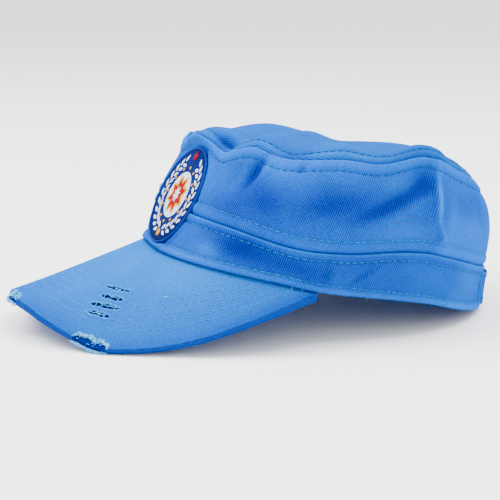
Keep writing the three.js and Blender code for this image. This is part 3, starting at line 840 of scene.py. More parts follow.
def section(low, high, thickness, rows, inner_rows, tuck=()):
    """Stations round a cloth's section, with rounded edges: up its face, over and down its back.
    A tuck is where its lower edge goes in behind the next cloth, outer stations first."""
    round_off = [(0.0, 0.55), (0.12, 0.22), (0.35, 0.05)]
    tall = high - low
    edge = 0.45 * thickness / (34 * MM)
    stations = [(low + edge * a, thickness * b) for a, b in round_off]
    stations += [(low + edge + (tall - 2 * edge) * k / rows, 0) for k in range(rows + 1)]
    stations += [(high - edge * a, thickness * b) for a, b in reversed(round_off)]
    stations += [(high - edge * 0.3, thickness * 0.85)]
    stations += [(high - edge - (tall - 2 * edge) * k / inner_rows, thickness) for k in range(inner_rows + 1)]
    if tuck:
        stations = list(tuck[:2]) + stations + list(tuck[2:])
    else:
        stations += [(low + edge * 0.3, thickness * 0.85)]
    return stations + stations[:1]


def band_fade_and_shade(angle, lift):
    """The band's hems are paler than its middle; painted shade darkens its dents and its upper stitch furrow,
    and painted highlight lightens its swells and its back, which faces the lamps.
    """
    low, high, _ = edge_heights(angle)
    from_top, from_low = (1 - lift) * (high - low), lift * (high - low)
    way = way_round(angle)
    share = 0.42 + 0.48 * bump(from_top / (0.7 * MM)) + 0.26 * bump((from_low - 1.5 * MM) / (1.8 * MM))
    share = share + patches(BAND_SHADES, angle, lift) + 0.10 * bump((angle - 20) / 6)
    # Painted light: paler on the back, where the band faces the lamps.
    share = share + 0.26 * smooth(angle, 100, 128) * (1 - smooth(angle, 140, 172))
    # Painted shade in the furrow of the upper stitch row.
    share = share - 0.16 * bump((from_top - BAND_STITCH) / (0.7 * MM)) + 0.05 * wander(way, 2, 17 * MM)
    # Painted shade and highlight: the share follows the relief, darker where sunk, paler where raised.
    return np.clip(share + 0.5 * band_relief(angle, lift) / MM * 0.12, 0, 1)


def patches(rows, angle, lift):
    """Soft patches, each a row of angle, half-width, lift, half-height and change."""
    return sum(change * bump((angle - at) / wide) * bump((lift - height) / tall)
               for at, wide, height, tall, change in rows)


# Painted shade and highlight: darker and paler places of the band, of the wall and of the top panel (by its
# way inward).
BAND_SHADES = [(40, 9, 0.62, 0.26, -0.36), (55, 10, 0.52, 0.26, -0.26), (31, 4, 0.36, 0.2, 0.26)]
PANEL_SHADES = [(15.5, 6, 0.05, 0.035, -0.55), (49, 5, 0.03, 0.03, -0.30), (95, 12, 0.03, 0.04, -0.22)]
WALL_SHADES = [
    (20, 8, 1.62, 0.30, 0.12),
    (33, 9, 1.25, 0.14, -0.18),
    (45, 8, 1.46, 0.18, -0.30),
    (67, 13, 1.52, 0.17, -0.36),
    (47, 7, 1.83, 0.10, 0.16),
    (96, 4, 1.74, 0.12, -0.34),
    (84, 5, 1.76, 0.09, 0.10),
    (90, 10, 1.22, 0.12, 0.14),
    (117, 7, 1.62, 0.12, -0.14),
    (-60, 16, 1.50, 0.25, -0.20),
    (170, 20, 1.50, 0.25, -0.15),
]


def wall_fade_and_shade(angle, lift):
    """Painted light and shade of the wall: palest under the top seam, where it faces up, and on its swells,
    and deepest in the long hollow.
    """
    _, high, seam = edge_heights(angle)
    from_top, from_low = (2 - lift) * (seam - high), (lift - 1) * (seam - high)
    # Painted highlight under the top seam and on the upper wall, where they face up.
    share = 0.50 + 0.10 * bump((from_top - 1.6 * MM) / (2.6 * MM)) + 0.34 * bump(from_top / (0.7 * MM))
    share = share + 0.06 * smooth(lift, 1.62, 1.84) + 0.05 * bump((from_low - 2.5 * MM) / (2.5 * MM))
    share = share + patches(WALL_SHADES, angle, lift)
    # Painted shade in the long hollow and the crease.
    hollow = bump((angle - 86 - 59 * (lift - 1.53)) / 7) * bump((lift - 1.55) / 0.2)
    crease = bump((angle - 38.2 - 8.6 * (lift - 1.73)) / 1.5) * bump((lift - 1.7) / 0.2)
    share = share - 0.30 * hollow - 0.32 * crease
    # Painted highlight on the upright ridge, with painted shade on its near side.
    ridge = 102.3 + 0.9 * bump((lift - 1.2) / 0.12) * 4
    upright = bump((lift - 1.55) / 0.33)
    share = share + 0.40 * bump((angle - ridge - 0.5) / 0.8) * upright
    share = share - 0.16 * bump((angle - ridge + 1.3) / 1.2) * upright
    # Painted light behind the ridge, on the side that faces the lamps.
    back = 1 - smooth(angle, 135, 172)
    share = share + 0.06 * smooth(angle, ridge, ridge + 1) * back
    share = share + 0.20 * smooth(angle, 102.5, 109) * smooth(1.75 - lift, 0, 0.4) * back
    # Painted shade and highlight: the share follows the relief, darker where sunk, paler where raised.
    return np.clip(share + wall_relief(angle, lift) / MM * 0.10, 0, 1)


def panel_fade_and_shade(angle, lift):
    """The top panel is painted pale, as painted light on its upward face."""
    inward = lift - 2
    # Painted shadow line along the seam, and painted highlight on the puff inside it.
    share = 0.62 + 0.12 * bump((inward - 0.03) / 0.012) - 0.6 * bump(inward / 0.008)
    share = share + patches(PANEL_SHADES, angle, inward)
    # Painted shade and highlight: the share follows the relief, darker in folds, paler on swells.
    return np.clip(share + panel_relief(angle, lift) / MM * 0.06, 0, 1)


SEAM_GAP = 0.004


def make_band():
    """The turned band."""
    stations = section(0, 1 - SEAM_GAP, BAND_CLOTH, 34, 12)
    piece = ring_piece("band_cloth", stations, band_relief, band_twill, band_fade_and_shade)
    return finish_piece(piece, "band_twill", "band")


def make_wall():
    """The side wall, whose lower edge goes in behind the band."""
    behind = BAND_CLOTH + 0.3 * MM
    tuck = [(0.92, behind), (0.99, behind), (0.985, behind + 0.8 * MM), (0.92, behind + 0.8 * MM)]
    stations = section(1 + SEAM_GAP, 2 - SEAM_GAP, WALL_CLOTH, 46, 14, tuck)
    piece = ring_piece("wall_cloth", stations, wall_relief, wall_twill, wall_fade_and_shade, (0.004, 0.03))
    return finish_piece(piece, "crown_twill", "crown_wall")


def make_panel():
    """The top panel, one sheet inward from the seam."""
    angles = np.linspace(-180, 180, AROUND + 1)
    tucked = [-0.07, -0.012]
    inward = np.concatenate([tucked, np.linspace(SEAM_GAP, 0.12, 24), np.linspace(0.132, 1, 46)])
    angle, lift = np.broadcast_arrays(angles[None, :], 2 + inward[:, None])
    depth = np.where(lift < 2, WALL_CLOTH + 0.3 * MM, -panel_relief(angle, lift))
    place = to_frame(crown_layer(angle, lift, depth))
    flat = crown_form(angle, lift)
    mesh = woven_grid("panel_cloth", AROUND + 1, len(inward), place, flat[..., :2], panel_fade_and_shade(angle, lift),
                      join=True, facing=UP)
    piece = link(mesh, "panel_cloth", panel_twill)
    relax(mesh, 0.30)
    thicken(piece, TOP_CLOTH)
    return finish_piece(piece, "crown_twill", "crown_top")


def relax(mesh, reach):
    """Smooths the middle of the top panel, where the folds of its edge run out."""
    maker = bmesh.new()
    maker.from_mesh(mesh)
    middle = Vector(to_frame(np.array([0, 0, CROWN_HEIGHT])))
    inner = [v for v in maker.verts
             if (v.co - middle).xy.length < (1 - reach) * OPENING_SIDE * 0.93]
    for _ in range(30):
        bmesh.ops.smooth_vert(maker, verts=inner, factor=0.5, use_axis_x=False, use_axis_y=False,
                              use_axis_z=True)
    maker.to_mesh(mesh)
    maker.free()


STRAP_HALF_LIFT = STRAP_HEIGHT / BAND_HEIGHT / 2


def strap_angles(trim, count):
    """Angles along the strap, counted on past 180, and the same ones counted from the front."""
    half = STRAP_HALF_ANGLE - trim
    angles = np.linspace(180 - half, 180 + half, count)
    return angles, np.where(angles > 180, angles - 360, angles)


def make_strap():
    """The strap round the back of the band."""
    angles, wrapped = strap_angles(0, 121)
    lifts = np.linspace(0.5 - STRAP_HALF_LIFT, 0.5 + STRAP_HALF_LIFT, 22)
    angle, lift = np.broadcast_arrays(wrapped[None, :], lifts[:, None])
    edge = np.minimum(lift - lifts[0], lifts[-1] - lift) * BAND_HEIGHT
    puff = 0.35 * bump((edge - 1.3 * MM) / (1.2 * MM)) - 0.35 * bump((edge - 2.8 * MM) / (0.6 * MM))
    from_end = np.minimum(angles - angles[0], angles[-1] - angles)[None, :] * math.radians(1) * OPENING_BACK
    free = smooth(from_end, 0, 7 * MM)
    seat = mix(band_relief(angle, lift), np.maximum(band_relief(angle, lift), 0) * 0.3, free)
    depth = -mix(0.3 * MM, CLEARANCE + STRAP_CLOTH, free) - seat - puff * MM * free
    place = to_frame(crown_layer(angle, lift, depth))
    way = np.radians(angles)[None, :] * OPENING_SIDE
    weave = np.stack(np.broadcast_arrays(way, (lift - 0.5) * BAND_HEIGHT), axis=-1)
    fade_and_shade = np.clip(0.6 + 0.25 * bump(edge / (1.2 * MM)) + 0 * angle, 0, 1)
    mesh = woven_grid("strap_cloth", len(angles), len(lifts), place, weave, fade_and_shade, facing=BACKWARD)
    piece = link(mesh, "strap_cloth", band_twill)
    thicken(piece, 0.45 * MM)
    return finish_piece(piece, "band_twill", "back_strap")


# Peak.


def spread(*stretches):
    """Numbers through several stretches, each (end, count) after the first number."""
    values = [stretches[0]]
    for end, count in stretches[1:]:
        values += list(np.linspace(values[-1], end, count + 1)[1:])
    return np.array(values)


ALONG = spread(-1.0, (-0.07, 84), (0.07, 34), (0.19, 16), (0.42, 100), (1.0, 56))
OUT = spread(0.0, (0.42, 20), (0.80, 60), (0.93, 12), (1.0, 20))
# The rim's turn: how far ahead of the rim and how deep, in millimetres.
RIM_TURN = [(0.45, 0.12), (0.85, 0.5), (1.05, 1.1), (1.08, 1.9), (1.08, 2.7), (1.0, 3.4), (0.75, 3.8)]


# How much closer the ribs look where the cloth is drawn over the rim.
RIM_WEAVE = 2.4


def past_rim(along, ahead, depth):
    """A point past the peak's rim."""
    outward, _ = peak_ray(along)
    return peak_layer(along, 1, depth) + outward * ahead


def slit_frame(slit):
    """A slit's middle, half length, direction and cross direction on the peak."""
    start, end = peak_point(slit[0], slit[1]), peak_point(slit[2], slit[3])
    direction = unit(end - start)
    normal = peak_normal((slit[0] + slit[2]) / 2, (slit[1] + slit[3]) / 2)
    half = np.linalg.norm(end - start) / 2
    return (start + end) / 2, half, direction, unit(np.cross(normal, direction)), normal


SLIT_FRAMES = {slit: slit_frame(slit) for slit in SLITS}


def slit_measure(points, slit):
    """How far points lie along and across a slit, and its ragged half-width there."""
    middle, half, direction, across, _ = SLIT_FRAMES[slit]
    away = points - middle
    s, t = away @ direction, away @ across
    inside = np.clip(1 - (s / half) ** 2, 0, 1)
    ragged = 1 + 0.35 * wander(s, slit[4] / MM * 3, 1.1 * MM)
    return s, t, slit[4] / 2 * np.sqrt(inside) * ragged, half


def worn_reach(along, worn):
    """How far in from the rim a worn place reaches at a way along."""
    start, end, reach = worn
    u = (along - (start + end) / 2) / ((end - start) / 2)
    ragged = 1 + 0.22 * wander(along, start * 30, 0.006)
    return reach * np.sqrt(np.clip(1 - u ** 4, 0, 1)) * ragged


def make_peak_upper():
    """The peak's upper cloth, with slits and worn places cut through it."""
    along, out = np.meshgrid(ALONG, OUT)
    _, length = peak_ray(ALONG)
    place = peak_layer(along, out, 0)
    lift = np.zeros_like(along)
    from_rim = (1 - out) * length[None, :]
    for row in PEAK_ROWS:
        lift -= 0.10 * MM * bump((from_rim - row) / (0.7 * MM)) * smooth(out, 0.02, 0.08)
    lift += 0.18 * MM * wander(place[..., 0] + place[..., 1] * 0.4, 2, 26 * MM) * smooth(out, 0.05, 0.3)
    lift -= 0.5 * MM * bump(out * length[None, :] / (1.2 * MM))
    for slit in SLITS:
        s, t, wide, half = slit_measure(place, slit)
        near = smooth(half + 1.5 * MM - np.abs(s), 0, 2 * MM)
        lift += 0.42 * MM * bump((np.abs(t) - wide - 0.25 * MM) / (0.8 * MM)) * near
        lift += 0.12 * MM * near * bump(t / (3 * MM)) * np.sin(s / (0.5 * MM))
    normal = peak_normal(along, out)
    place = place + lift[..., None] * normal
    centre_along, centre_out = np.meshgrid((ALONG[1:] + ALONG[:-1]) / 2, (OUT[1:] + OUT[:-1]) / 2)
    centres = peak_point(centre_along, centre_out)
    cut = np.zeros(centre_along.shape, bool)
    for slit in SLITS:
        s, t, wide, half = slit_measure(centres, slit)
        cut |= (np.abs(t) < wide) & (np.abs(s) < half)
    centre_length = (length[1:] + length[:-1]) / 2
    turned = np.zeros(len(ALONG) - 1, bool)
    for worn in WORN_PLACES:
        reach = worn_reach(centre_along, worn)
        cut |= (1 - centre_out) * centre_length[None, :] < reach
        turned |= reach[0] > 0
    whole = np.zeros((1, len(ALONG) - 1), bool)
    lip = np.repeat(turned[None, :], len(RIM_TURN) - 2, axis=0)
    gone = np.concatenate([whole, whole, cut, lip, whole, whole])
    tucked = [crown_layer(ALONG * PEAK_CORNER, 0.10, BAND_CLOTH + 0.25 * MM),
              crown_layer(ALONG * PEAK_CORNER, 0, BAND_CLOTH + 0.15 * MM) - np.array([0, 0, CLEARANCE])]
    rim_rows = [past_rim(ALONG, a * MM, d * MM) for a, d in RIM_TURN]
    place = to_frame(np.concatenate([np.stack(tucked), place, np.stack(rim_rows)]))
    plan = np.concatenate([np.stack(tucked), peak_layer(along, out, 0), np.stack(rim_rows)])
    weave = np.stack([plan[..., 0], plan[..., 1] * 1.04], axis=-1)
    weave[-len(RIM_TURN):, :, 1] -= np.array([d for _, d in RIM_TURN])[:, None] * MM
    weave[-len(RIM_TURN):] *= RIM_WEAVE
    fade_and_shade = peak_fade_and_shade(along, out, from_rim)
    # Painted shade: the cloth turned under the rim is darker.
    rim_fade_and_shade = np.repeat(fade_and_shade[-1:], len(RIM_TURN), axis=0) - 0.34
    fade_and_shade = np.clip(np.concatenate([fade_and_shade[:1], fade_and_shade[:1], fade_and_shade, rim_fade_and_shade]), 0, 1)
    mesh = woven_grid("peak_upper", len(ALONG), len(place), place, weave, fade_and_shade, dropped=gone, facing=UP)
    piece = link(mesh, "peak_upper", peak_twill)
    thicken(piece, 0.75 * MM)
    return finish_piece(piece, "peak_twill", "peak_top_cloth")


def peak_fade_and_shade(along, out, from_rim):
    """The peak is painted pale at its crown side and deeper along its rim and towards its corners, as painted
    light and shade, and is frayed white near its slits.
    """
    # Painted light and shade: paler towards the crown, darker along the rim and towards the corners.
    share = 0.62 + 0.22 * smooth(out, 0.9, 0.1) - 0.16 * bump(from_rim / (6 * MM))
    share = share - 0.20 * smooth(along, 0.35, 0.9)
    point = peak_point(along, out)
    for slit in SLITS:
        s, t, wide, half = slit_measure(point, slit)
        near = smooth(half + 1.2 * MM - np.abs(s), 0, 2 * MM)
        share = share + 0.45 * near * bump((np.abs(t) - wide) / (0.7 * MM))
    for worn in WORN_PLACES:
        reach = worn_reach(along, worn)
        share = share + 0.6 * (reach > 0) * bump((from_rim - reach) / (1.0 * MM))
    for row in PEAK_ROWS:
        share = share + 0.03 * bump((from_rim - row) / (0.5 * MM))
    return share


def peak_sheet(name, top, thickness, inset, material, fade_share):
    """A plain layer of the peak below its upper cloth."""
    rows = np.linspace(0, 1, 44)
    columns = np.linspace(-1, 1, 221)
    along, out = np.meshgrid(columns, rows)
    _, length = peak_ray(columns)
    shown = out * (1 - inset / np.maximum(length, 4 * MM))[None, :]
    place = to_frame(peak_layer(along, shown, top))
    plan = peak_layer(along, shown, top)
    shade = np.full(along.shape, fade_share)
    mesh = woven_grid(name, len(columns), len(rows), place, plan[..., :2], shade, facing=UP)
    piece = link(mesh, name, material)
    thicken(piece, thickness)
    return piece


def make_peak_inner():
    """The ribbed layer inside the peak, which shows through the slits and the worn places."""
    top = 1.05 * MM
    piece = peak_sheet("peak_core", top, PEAK_THICKNESS - PEAK_CLOTH - top, -0.5 * MM, core_twill, 0.5)
    soften(piece, 0.5 * MM, 3)
    return finish_piece(piece, "peak_board", "peak_board")


def make_peak_lower():
    """The peak's lower cloth."""
    piece = peak_sheet("peak_lower", PEAK_THICKNESS - PEAK_CLOTH, PEAK_CLOTH, 0.35 * MM, peak_twill, 0.5)
    return finish_piece(piece, "peak_twill", "peak_under_cloth")


# Stitches and frayed threads.


STITCH_ARCH = [(0.0, -0.22), (0.14, 0.05), (0.5, 0.13), (0.86, 0.05), (1.0, -0.22)]


def stitch_paths(points, normals, keep=None):
    """Stitches along a line of points: each dips into the cloth at both ends."""
    way = np.concatenate([[0], np.cumsum(np.linalg.norm(np.diff(points, axis=0), axis=-1))])
    paths = []
    for k in range(int(way[-1] / STITCH_PITCH)):
        start = k * STITCH_PITCH + LAY.uniform(-0.15, 0.15) * MM
        long = STITCH_LENGTH * LAY.uniform(0.9, 1.08)
        stitch = []
        for share, height in STITCH_ARCH:
            at = min(max(start + share * long, 0), way[-1])
            point = np.array([np.interp(at, way, points[:, c]) for c in range(3)])
            normal = unit(np.array([np.interp(at, way, normals[:, c]) for c in range(3)]))
            stitch.append(point + normal * height * MM)
        if keep is None or keep(stitch[2]):
            paths.append(to_frame(np.array(stitch)))
    return paths


def beside_badge(point):
    """Whether a point of the crown lies clear of the badge."""
    return point[1] > 0 or from_badge(point)[1] > BADGE_RADIUS + 0.4 * MM


def ring_stitches(lift_at, relief, first=-179.7, last=179.7):
    """Stitches round the crown at a lift that may change with the angle."""
    angles = np.linspace(first, last, 1500)
    lift = lift_at(angles)
    face = crown_layer(angles, lift, -relief(angles, lift) - 0.04 * MM)
    return stitch_paths(face, crown_normal(angles, lift), beside_badge)


def make_stitches():
    """All topstitching: pale rows round the crown and over the peak, and darker rows at the top seam."""
    def band_share(distance):
        def lift(angles):
            low, high, _ = edge_heights(angles)
            return distance / (high - low)
        return lift

    def wall_share(distance):
        def lift(angles):
            _, high, seam = edge_heights(angles)
            return distance / (seam - high)
        return lift

    top, low = band_share(BAND_STITCH), wall_share(WALL_LOW_STITCH)
    pale = ring_stitches(top, band_relief)
    pale += ring_stitches(lambda a: 1 - top(a), band_relief)
    pale += ring_stitches(lambda a: 1 + low(a), wall_relief)
    piece = threads("row_stitches", pale, STITCH_THREAD, row_thread)
    finish_piece(piece, "band_twill")
    seam = wall_share(WALL_TOP_STITCH)
    dark = ring_stitches(lambda a: 2 - seam(a), wall_relief)
    dark += ring_stitches(lambda a: 2 + PANEL_STITCH + 0 * a, panel_relief)
    piece = threads("seam_stitches", dark, STITCH_THREAD, seam_thread)
    finish_piece(piece, "crown_twill")
    rows = []
    columns = np.linspace(-0.985, 0.985, 700)
    _, length = peak_ray(columns)
    for distance in PEAK_ROWS:
        fits = length > distance + 1.5 * MM
        along = columns[fits]
        out = 1 - distance / length[fits]
        rows += stitch_paths(peak_layer(along, out, 0.06 * MM), peak_normal(along, out), clear_of_slits)
    piece = threads("peak_stitches", rows, PEAK_THREAD, peak_thread)
    finish_piece(piece, "peak_twill")
    from_middle = STRAP_HALF_LIFT - 2.8 * MM / BAND_HEIGHT
    _, wrapped = strap_angles(2, 400)
    strap = []
    for lift in (0.5 - from_middle, 0.5 + from_middle):
        level = np.full_like(wrapped, lift)
        face = crown_layer(wrapped, level, -(CLEARANCE + STRAP_CLOTH + 0.1 * MM))
        strap += stitch_paths(face, crown_normal(wrapped, level))
    piece = threads("strap_stitches", strap, STITCH_THREAD, row_thread)
    finish_piece(piece, "band_twill")


def clear_of_slits(point):
    """Whether a stitch of the peak lies on whole cloth."""
    for slit in SLITS:
        s, t, _, half = slit_measure(point, slit)
        if abs(s) < half + 0.6 * MM and abs(t) < slit[4]:
            return False
    return True


# Threads of a slit: short ends, strands along it and threads across it. Threads of each worn place, and
# the share of them that lies over the bare core.
SLIT_ENDS, SLIT_STRANDS, SLIT_CROSSINGS = 17, 1, 2
WORN_THREADS = [(440, 0.6), (520, 0.05)]


def frayed(point, direction, normal, length):
    """One loose thread end: it leaves the cloth in a direction and curls up from it."""
    side = np.cross(direction, normal) * LAY.uniform(-0.8, 0.8)
    rise = LAY.uniform(0.05, 0.6)
    path = []
    for k in range(5):
        u = k / 4
        way = direction * u + side * u * u * 0.6 + normal * (rise * u - 0.55 * rise * u * u * u)
        path.append(point + way * length + normal * 0.05 * MM)
    return to_frame(np.array(path))


def slit_fringe(slit):
    """Loose threads of one slit: short ends from both edges, and strands that still span it."""
    middle, half, direction, across, normal = SLIT_FRAMES[slit]
    fringe = []
    for _ in range(SLIT_ENDS):
        s = LAY.uniform(-1, 1) * half
        side = LAY.choice((-1, 1))
        _, _, wide, _ = slit_measure(middle + direction * s, slit)
        beside = wide + LAY.uniform(0.0, 0.5) * MM
        root = middle + direction * s + across * side * beside + normal * 0.25 * MM
        lean = direction * LAY.uniform(-1.2, 1.2)
        heading = across * side * LAY.choice((-1, 0.7, 0.9))
        fringe.append(frayed(root, unit(heading + lean), normal, LAY.uniform(0.3, 0.7) * MM))
    for _ in range(SLIT_STRANDS):
        start, end = sorted((LAY.uniform(-0.95, 0.4), LAY.uniform(-0.2, 0.95)))
        level, wave = LAY.uniform(-0.26, 0.26) * slit[4], LAY.uniform(0, 6)
        strand = []
        for k in range(14):
            s = mix(start, end, k / 13) * half
            sway = level + 0.16 * MM * math.sin(s / (0.55 * MM) + wave)
            strand.append(middle + direction * s + across * sway
                          + normal * (0.05 + 0.2 * math.sin(math.pi * k / 13)) * MM)
        fringe.append(to_frame(np.array(strand)))
    for _ in range(SLIT_CROSSINGS):
        s = LAY.uniform(-0.7, 0.7) * half
        start = middle + direction * s - across * slit[4] * 0.6 + normal * 0.1 * MM
        end = start + across * slit[4] * 1.2 + direction * LAY.uniform(-0.6, 0.6) * MM
        bow = (start + end) / 2 + normal * LAY.uniform(0.1, 0.3) * MM
        fringe.append(to_frame(np.array([start, mix(start, bow, 0.6), bow, mix(end, bow, 0.6), end])))
    return fringe


def worn_fringe(worn, count, cover):
    """Loose threads of a worn place: a fringe at the cloth's edge, one at the turned lip, and some
    that cover the bare core."""
    along = np.array([LAY.uniform(worn[0], worn[1]) for _ in range(count)])
    reach = worn_reach(along, worn)
    outward, span = peak_ray(along)
    normal = peak_normal(along, 0.97)
    sideways = unit(np.cross(normal, outward))
    share = np.array([LAY.uniform(-0.14, 0.20) if LAY.random() > cover else LAY.uniform(-1, 0)
                      for _ in along])
    cloth = peak_layer(along, 1 - reach * (1 + share) / span, np.where(share > 0, -0.05, 0.7) * MM)
    lip = past_rim(along, 1.05 * MM, np.array([LAY.uniform(2.3, 3.5) * MM for _ in along]))
    fringe = []
    for k in range(count):
        if k % 5 < 3:
            turn = LAY.uniform(-1.2, 1.2)
            heading = unit(outward[k] * LAY.choice((1, 1, -0.6)) + sideways[k] * turn)
            fringe.append(frayed(cloth[k], heading, normal[k], LAY.uniform(0.4, 1.1) * MM))
        else:
            turn = LAY.uniform(-1.1, 1.1)
            rise = normal[k] * LAY.uniform(-0.7, 1.2)
            heading = unit(outward[k] * LAY.uniform(0.1, 0.7) + sideways[k] * turn + rise)
            fringe.append(frayed(lip[k], heading, outward[k], LAY.uniform(0.7, 1.7) * MM))
    return fringe


def make_fray():
    """Pale broken threads at the slits and at the worn places of the rim, and a few bits of lint."""
    fringe = []
    for slit in SLITS:
        fringe += slit_fringe(slit)
    for worn, (count, cover) in zip(WORN_PLACES, WORN_THREADS):
        fringe += worn_fringe(worn, count, cover)
    for angle in (58, 61, 83, 97, -70):
        root = crown_layer(np.array(float(angle)), np.array(0.02), 0.4 * MM)
        normal = crown_normal(np.array(float(angle)), np.array(0.05))
        fringe.append(frayed(root, unit(np.array([0.1, 0.3, -1.0])), normal, 1.4 * MM))
    turns = np.linspace(0, 5.4, 14)
    lint = peak_point(0.43, 0.40) + 0.3 * MM * peak_normal(0.43, 0.40)
    curl = np.stack([0.9 * np.cos(turns), 0.5 * np.sin(turns), 0.05 * turns], axis=-1) * MM
    fringe.append(to_frame(lint + curl))
    for path in fringe:
        path[:, 2] = np.maximum(path[:, 2], FRAY_THREAD + 0.05 * MM)
    piece = threads("frayed_threads", fringe, FRAY_THREAD, frayed_thread)
    return finish_piece(piece, "peak_twill")


# Badge.


BADGE_RIM = 0.8 * MM


def badge_matrix():
    """From the badge's own plane (its face towards +Z, its top towards +Y) to the frame."""
    facing = Vector(turn_to_frame(BADGE_NORMAL))
    up = Vector(turn_to_frame(np.array([0, math.sin(BADGE_LEAN), math.cos(BADGE_LEAN)])))
    turn = Matrix((up.cross(facing), up, facing)).transposed().to_4x4()
    return Matrix.Translation(Vector(to_frame(BADGE_SEAT))) @ turn


def badge_disc(name, stations, material, sides=120):
    """A turned form of the badge: stations are (radius, height)."""
    turns = np.linspace(0, 2 * math.pi, sides + 1)
    radius = np.array([s[0] for s in stations])[:, None]
    height = np.array([s[1] for s in stations])[:, None]
    local = np.stack(np.broadcast_arrays(radius * np.cos(turns), radius * np.sin(turns), height), axis=-1)
    if material is rim_satin:
        weave = np.stack(np.broadcast_arrays(turns[None, :] * BADGE_RADIUS, height), axis=-1)
    else:
        weave = local[..., :2]
    mesh = woven_grid(name, sides + 1, len(stations), local, weave, np.full(local.shape[:2], 0.5), join=True)
    mesh.transform(badge_matrix())
    return link(mesh, name, material)


def dome(maker, centre, turn, outline, height, rim_height):
    """A low satin-stitched form over an outline, added to a mesh being made."""
    made = bmesh.ops.create_circle(maker, cap_ends=True, cap_tris=True, segments=len(outline), radius=1)
    verts = made["verts"]
    rim = [v for v in verts if v.co.length > 0.5]
    rim.sort(key=lambda v: math.atan2(v.co.y, v.co.x) % (2 * math.pi))
    for v, (x, y) in zip(rim, outline):
        v.co = Vector((x, y, rim_height))
    for v in verts:
        if v not in rim:
            v.co = Vector((0, 0, height))
    bmesh.ops.rotate(maker, verts=verts, cent=(0, 0, 0), matrix=Matrix.Rotation(turn, 3, "Z"))
    bmesh.ops.translate(maker, verts=verts, vec=Vector((centre[0], centre[1], 0)))


def embroidered(name, forms, level, height, material, rim_height=0.0):
    """Satin-stitched forms on the badge, each a (centre, turn, outline), as one piece."""
    maker = bmesh.new()
    for centre, turn, outline in forms:
        dome(maker, centre, turn, outline, height, rim_height)
    skirt = bmesh.ops.extrude_edge_only(maker, edges=[e for e in maker.edges if e.is_boundary])
    low = [g for g in skirt["geom"] if isinstance(g, bmesh.types.BMVert)]
    bmesh.ops.translate(maker, verts=low, vec=Vector((0, 0, -0.35 * MM)))
    bmesh.ops.holes_fill(maker, edges=[e for e in maker.edges if e.is_boundary], sides=0)
    bmesh.ops.recalc_face_normals(maker, faces=maker.faces)
    layer = maker.loops.layers.uv.new("weave")
    for f in maker.faces:
        for loop in f.loops:
            loop[layer].uv = loop.vert.co.xy
    bmesh.ops.translate(maker, verts=maker.verts, vec=Vector((0, 0, level)))
    bmesh.ops.transform(maker, matrix=badge_matrix(), verts=maker.verts)
    piece = link(to_mesh(maker, name), name, material)
    soften(piece, 0.12 * MM, 1)
    return finish_piece(piece, "badge_cloth")


def polar(radius, turn):
    """A place on the badge by its distance and direction from the middle."""
    return radius * math.cos(turn), radius * math.sin(turn)


def leaf_outline(long, wide, points=18):
    """A pointed leaf, its tip along +X."""
    outline = []
    for k in range(points):
        a = 2 * math.pi * k / points
        x = math.cos(a) * long / 2
        y = math.sin(a) * wide / 2 * (1 - 0.35 * math.cos(a)) * (1 - 0.4 * abs(math.cos(a)) ** 3)
        outline.append((x, y))
    return outline


def star_outline(tips, outer, inner):
    """A star with its first tip along +X."""
    radii = [outer, inner] * tips
    return [polar(radius, math.pi * k / tips) for k, radius in enumerate(radii)]


def round_outline(radius, points=40):
    """A circle."""
    return [polar(radius, 2 * math.pi * k / points) for k in range(points)]


def make_badge():
    """A round patch with a wreath of leaves round a compass star."""
    inner = BADGE_RADIUS - BADGE_RIM
    top = BADGE_THICKNESS
    ground = badge_disc("badge_ground", [(0, top), (8 * MM, top), (16 * MM, top), (inner + 0.2 * MM, top),
                                         (inner + 0.2 * MM, 0.1 * MM), (0, 0.1 * MM)], navy_satin)
    finish_piece(ground, "badge_cloth", "badge")
    turns = [(BADGE_RIM / 2 * math.cos(a), 0.5 * math.sin(a)) for a in np.linspace(math.pi, 0, 9)]
    ring = [(BADGE_RADIUS - BADGE_RIM / 2 + x, top - 0.1 * MM + y * MM) for x, y in turns]
    ring += [(BADGE_RADIUS, 0.15 * MM), (inner, 0.15 * MM)]
    rim = badge_disc("badge_rim", ring + ring[:1], rim_satin, 180)
    finish_piece(rim, "badge_cloth")
    leaves = []
    wreath = 19.6 * MM
    for side in (-1, 1):
        for k in range(11):
            a = math.radians(-78 + k * 13.6)
            for row, lean in ((1.9, 0.55), (-1.9, -0.55)):
                reach = wreath + row * MM
                at = a + (0.09 if row > 0 else 0)
                centre = (side * reach * math.cos(at), reach * math.sin(at))
                turn = at + math.pi / 2 - lean
                turn = turn if side > 0 else math.pi - turn
                leaves.append((centre, turn, leaf_outline(4.9 * MM, 2.1 * MM)))
    embroidered("badge_leaves", leaves, top, 0.55 * MM, white_satin)
    field = [((0, 0), 0, round_outline(12.6 * MM, 64))]
    embroidered("badge_field", field, top, 0.14 * MM, white_satin, 0.12 * MM)
    gold = [((0, 0), math.pi / 8, star_outline(8, 11.6 * MM, 7.4 * MM))]
    gold += [(polar(14.9 * MM, a), 0, round_outline(0.85 * MM, 12))
             for a in np.radians(np.arange(0, 360, 30))]
    gold += [((0, -21.2 * MM), 0, round_outline(1.9 * MM, 24))]
    embroidered("badge_gold", gold, top, 0.34 * MM, gold_satin, 0.3 * MM)
    red = [((0, 0), math.pi / 8, star_outline(8, 9.8 * MM, 5.6 * MM))]
    red += [((0, 21.4 * MM), math.pi / 2, star_outline(5, 2.9 * MM, 1.4 * MM))]
    embroidered("badge_red", red, top, 0.52 * MM, red_satin, 0.46 * MM)
    pearl = [((0, 0), math.pi / 8, star_outline(8, 4.6 * MM, 2.2 * MM))]
    embroidered("badge_pearl", pearl, top, 0.68 * MM, white_satin, 0.62 * MM)


# Stage.


ROOM_LIGHT = 2.15
# Lamps: name, place, size and power.
LAMPS = [
    ("key", (-0.35, -0.75, 1.25), 0.9, 38),
    ("top", (0.1, 0.45, 1.4), 1.2, 36),
    ("side", (1.3, 0.1, 0.7), 0.8, 4),
]
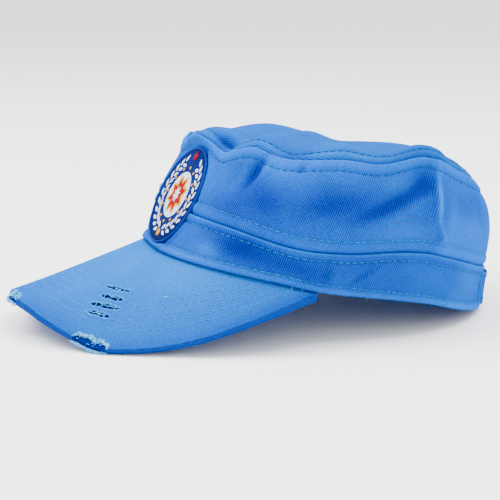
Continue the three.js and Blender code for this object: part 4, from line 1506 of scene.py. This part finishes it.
# The photograph's view: degrees round from the front and up, distance, point aimed at and lens.
VIEW_TURN, VIEW_RISE, VIEW_DISTANCE = math.radians(69.3), math.radians(12.05), 0.700
VIEW_AIM = Vector((0, -0.408 * MM, 31.54 * MM))
VIEW_LENS = 97.13


def make_stage():
    """A pale table, soft light from above and the camera."""
    maker = bmesh.new()
    bmesh.ops.create_grid(maker, x_segments=2, y_segments=2, size=6)
    mesh = to_mesh(maker, "table")
    material = bpy.data.materials.new("pale_table")
    material.use_nodes = True
    shader = material.node_tree.nodes["Principled BSDF"]
    set_inputs(shader, {"Base Color": (0.93, 0.935, 0.94, 1), "Roughness": 0.7, "Specular IOR Level": 0.1})
    link(mesh, "table", material)
    world = bpy.data.worlds.new("soft_room")
    bpy.context.scene.world = world
    world.use_nodes = True
    room = world.node_tree.nodes["Background"]
    set_inputs(room, {"Color": (0.97, 0.985, 1, 1), "Strength": ROOM_LIGHT})
    for name, place, size, power in LAMPS:
        lamp(name, place, size, power)


def lamp(name, place, size, power):
    """A square soft light that faces the cap."""
    data = bpy.data.lights.new(name, "AREA")
    data.size = size
    data.energy = power
    light = bpy.data.objects.new(name, data)
    bpy.context.scene.collection.objects.link(light)
    light.location = place
    light.rotation_euler = (Vector((0, 0, 0.03)) - Vector(place)).to_track_quat("-Z", "Y").to_euler()


def make_camera():
    """The camera, at the photograph's angle."""
    data = bpy.data.cameras.new("camera")
    data.sensor_width = 36
    data.lens = VIEW_LENS
    camera = bpy.data.objects.new("camera", data)
    bpy.context.scene.collection.objects.link(camera)
    level = math.cos(VIEW_RISE)
    towards = Vector((math.sin(VIEW_TURN) * level, -math.cos(VIEW_TURN) * level, math.sin(VIEW_RISE)))
    camera.location = VIEW_AIM + VIEW_DISTANCE * towards
    camera.rotation_euler = (VIEW_AIM - camera.location).to_track_quat("-Z", "Y").to_euler()
    bpy.context.scene.camera = camera


make_camera()
make_band()
make_wall()
make_panel()
make_strap()
make_peak_upper()
make_peak_inner()
make_peak_lower()
make_stitches()
make_fray()
make_badge()
make_stage()
